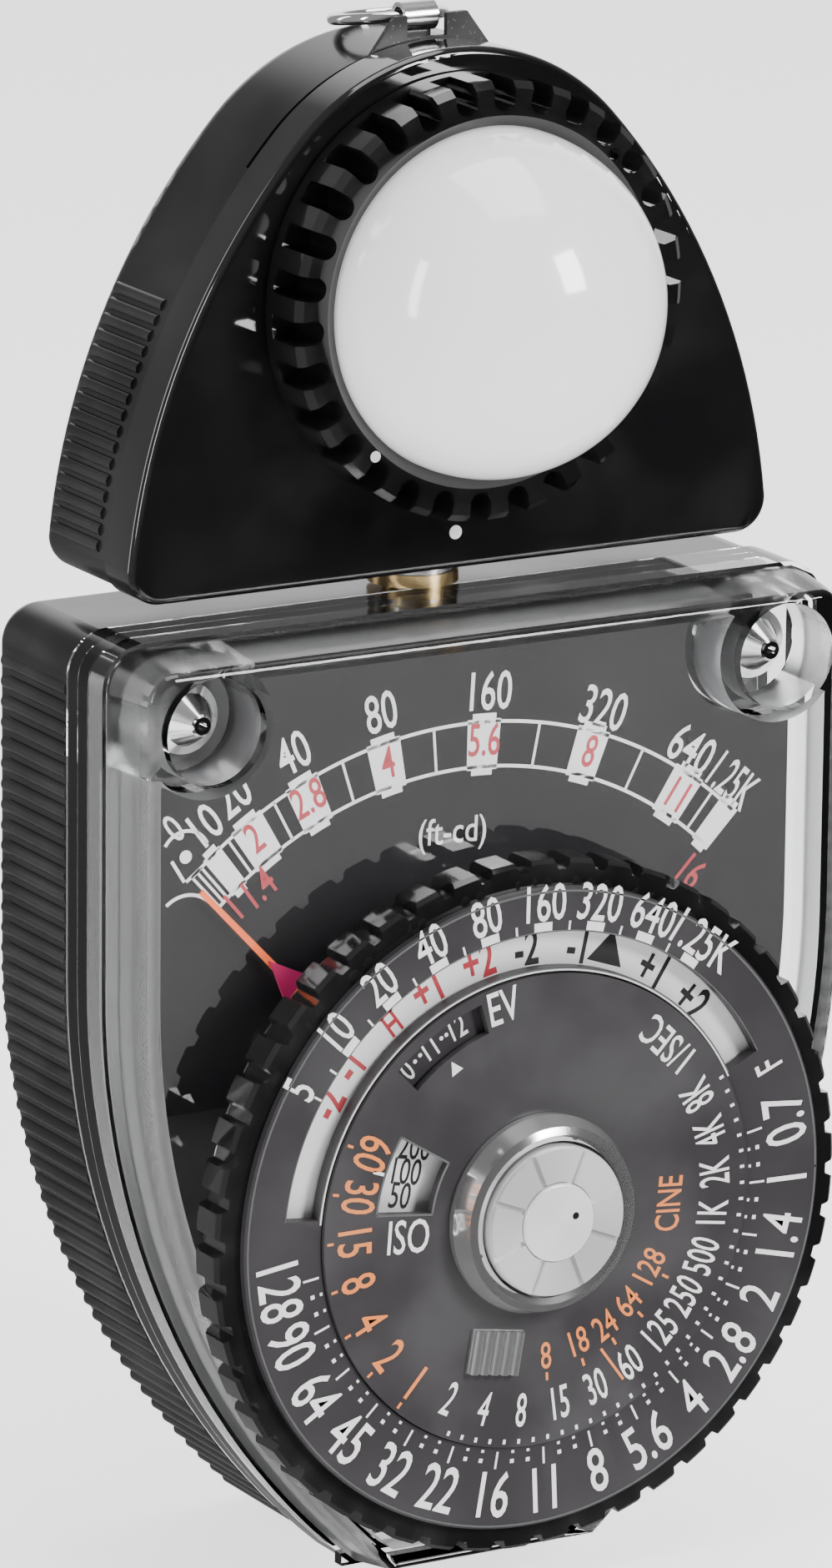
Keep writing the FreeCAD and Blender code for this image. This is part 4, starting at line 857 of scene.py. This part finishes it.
class METER_OT_studio(bpy.types.Operator):
    """Sets up the floor, the lights and the camera"""
    bl_idname = "meter.studio"
    bl_label = "Studio"

    def execute(self, context):
        props = context.scene.meter_studio
        target = Vector(props.target)
        azimuth, elevation = props.azimuth, props.elevation
        back = Vector((math.sin(azimuth) * math.cos(elevation), -math.cos(azimuth) * math.cos(elevation),
                       math.sin(elevation)))
        right = Vector((math.cos(azimuth), math.sin(azimuth), 0.0))
        up = back.cross(right)
        self.floor()
        self.world(context)
        self.camera(context, props, target, right, up, back)
        for name, way, distance, size, power in (
                ("key_right", (0.78, 0.32, 0.55), 0.6, (0.16, 0.24), 4.0),
                ("strip_left", (-0.74, 0.14, 0.66), 0.6, (0.07, 0.36), 1.3),
                ("top_fill", (0.1, 0.95, 0.2), 0.6, (0.5, 0.35), 2.6),
                ("rim_left", (-0.95, 0.35, -0.2), 0.55, (0.1, 0.5), 0.6)):
            direction = (right * way[0] + up * way[1] + back * way[2]).normalized()
            self.softbox(name, target + direction * distance, direction, size, power)
        return {"FINISHED"}

    def floor(self):
        clear_selection()
        bpy.ops.mesh.primitive_grid_add(x_subdivisions=24, y_subdivisions=24, size=6.0, location=(0, 0, -0.00005))
        floor = settle(bpy.context.object, "floor")
        finish = grained("floor_paper", (0.86, 0.86, 0.86), (0.9, 0.9, 0.9), 0.8, scale=300.0, drift=0.01,
                         bump=0.05)
        shader = finish.node_tree.nodes["Principled BSDF"]
        shader.inputs["Emission Color"].default_value = (1.0, 1.0, 1.0, 1.0)
        nodes, links = finish.node_tree.nodes, finish.node_tree.links
        place = nodes.new("ShaderNodeSeparateXYZ")
        links.new(nodes.new("ShaderNodeTexCoord").outputs["Object"], place.inputs["Vector"])
        ahead = along(nodes, links, place, (0.5, -0.86))
        glow = ramp(nodes, links, ahead, 0.04, 0.12, FLOOR_GLOW, 0.05)
        rays = nodes.new("ShaderNodeLightPath")
        seen = math_node(nodes, links, "MULTIPLY", rays.outputs["Is Camera Ray"], FLOOR_GLOW)
        links.new(math_node(nodes, links, "MAXIMUM", glow, seen), shader.inputs["Emission Strength"])
        floor.data.materials.append(finish)
        floor.visible_glossy = False

    def world(self, context):
        world = bpy.data.worlds.new("studio")
        context.scene.world = world
        world.use_nodes = True
        nodes, links = world.node_tree.nodes, world.node_tree.links
        sky = nodes["Background"]
        sky.inputs["Color"].default_value = (1.0, 1.0, 1.0, 1.0)
        place = nodes.new("ShaderNodeSeparateXYZ")
        links.new(nodes.new("ShaderNodeTexCoord").outputs["Generated"], place.inputs["Vector"])
        ahead = along(nodes, links, place, (0.45, -0.85, -0.26))
        glow = ramp(nodes, links, ahead, 0.1, 0.75, 0.32, 0.012)
        behind = along(nodes, links, place, (0.48, 0.84, 0.26))
        glow = math_node(nodes, links, "MAXIMUM", glow, ramp(nodes, links, behind, 0.8, 0.95, 0.0, 2.0))
        rays = nodes.new("ShaderNodeLightPath")
        seen = math_node(nodes, links, "MULTIPLY", rays.outputs["Is Camera Ray"], 3.0)
        strength = math_node(nodes, links, "MAXIMUM", glow, seen)
        links.new(strength, sky.inputs["Strength"])

    def softbox(self, name, place, direction, size, power):
        clear_selection()
        bpy.ops.object.light_add(type="AREA", location=place)
        light = bpy.context.object
        light.name = name
        light.data.shape = "RECTANGLE"
        light.data.size, light.data.size_y = size
        light.data.energy = power
        light.rotation_euler = direction.to_track_quat("Z", "Y").to_euler()

    def camera(self, context, props, target, right, up, back):
        clear_selection()
        bpy.ops.object.camera_add(location=target + back * props.distance)
        camera = context.object
        camera.data.sensor_fit = "AUTO"
        camera.data.sensor_width = 36.0
        camera.data.lens = props.lens
        camera.data.clip_start = 0.01
        c, s = math.cos(props.roll), math.sin(props.roll)
        across, upright = right * c + up * s, up * c - right * s
        camera.rotation_euler = Matrix((across, upright, back)).transposed().to_euler()
        context.scene.camera = camera


class METER_PT_panel(bpy.types.Panel):
    """Lists the steps that dress the meter"""
    bl_label = "Light Meter"
    bl_idname = "METER_PT_panel"
    bl_space_type = "VIEW_3D"
    bl_region_type = "UI"
    bl_category = "Light Meter"

    def draw(self, context):
        for group in [getattr(context.scene, name) for name in SETTINGS]:
            box = self.layout.box()
            for name in group.bl_rna.properties.keys()[2:]:
                box.prop(group, name)
        for step in STEPS:
            self.layout.operator(step.bl_idname)


STEPS = (METER_OT_finishes, METER_OT_outer_dial, METER_OT_index_band, METER_OT_inner_dial, METER_OT_scale,
         METER_OT_back_table, METER_OT_studio)
SETTINGS = {"meter_print": MeterPrint, "meter_colours": MeterColours, "meter_studio": MeterStudio}
CLASSES = tuple(SETTINGS.values()) + STEPS + (METER_PT_panel,)


def register():
    for cls in CLASSES:
        bpy.utils.register_class(cls)
    for name, group in SETTINGS.items():
        setattr(bpy.types.Scene, name, bpy.props.PointerProperty(type=group))


def unregister():
    for name in SETTINGS:
        delattr(bpy.types.Scene, name)
    for cls in reversed(CLASSES):
        bpy.utils.unregister_class(cls)


def main():
    register()
    bpy.ops.meter.finishes()
    bpy.ops.meter.outer_dial()
    bpy.ops.meter.index_band()
    bpy.ops.meter.inner_dial()
    bpy.ops.meter.scale()
    bpy.ops.meter.back_table()
    bpy.ops.meter.studio()


if __name__ == "__main__":
    main()
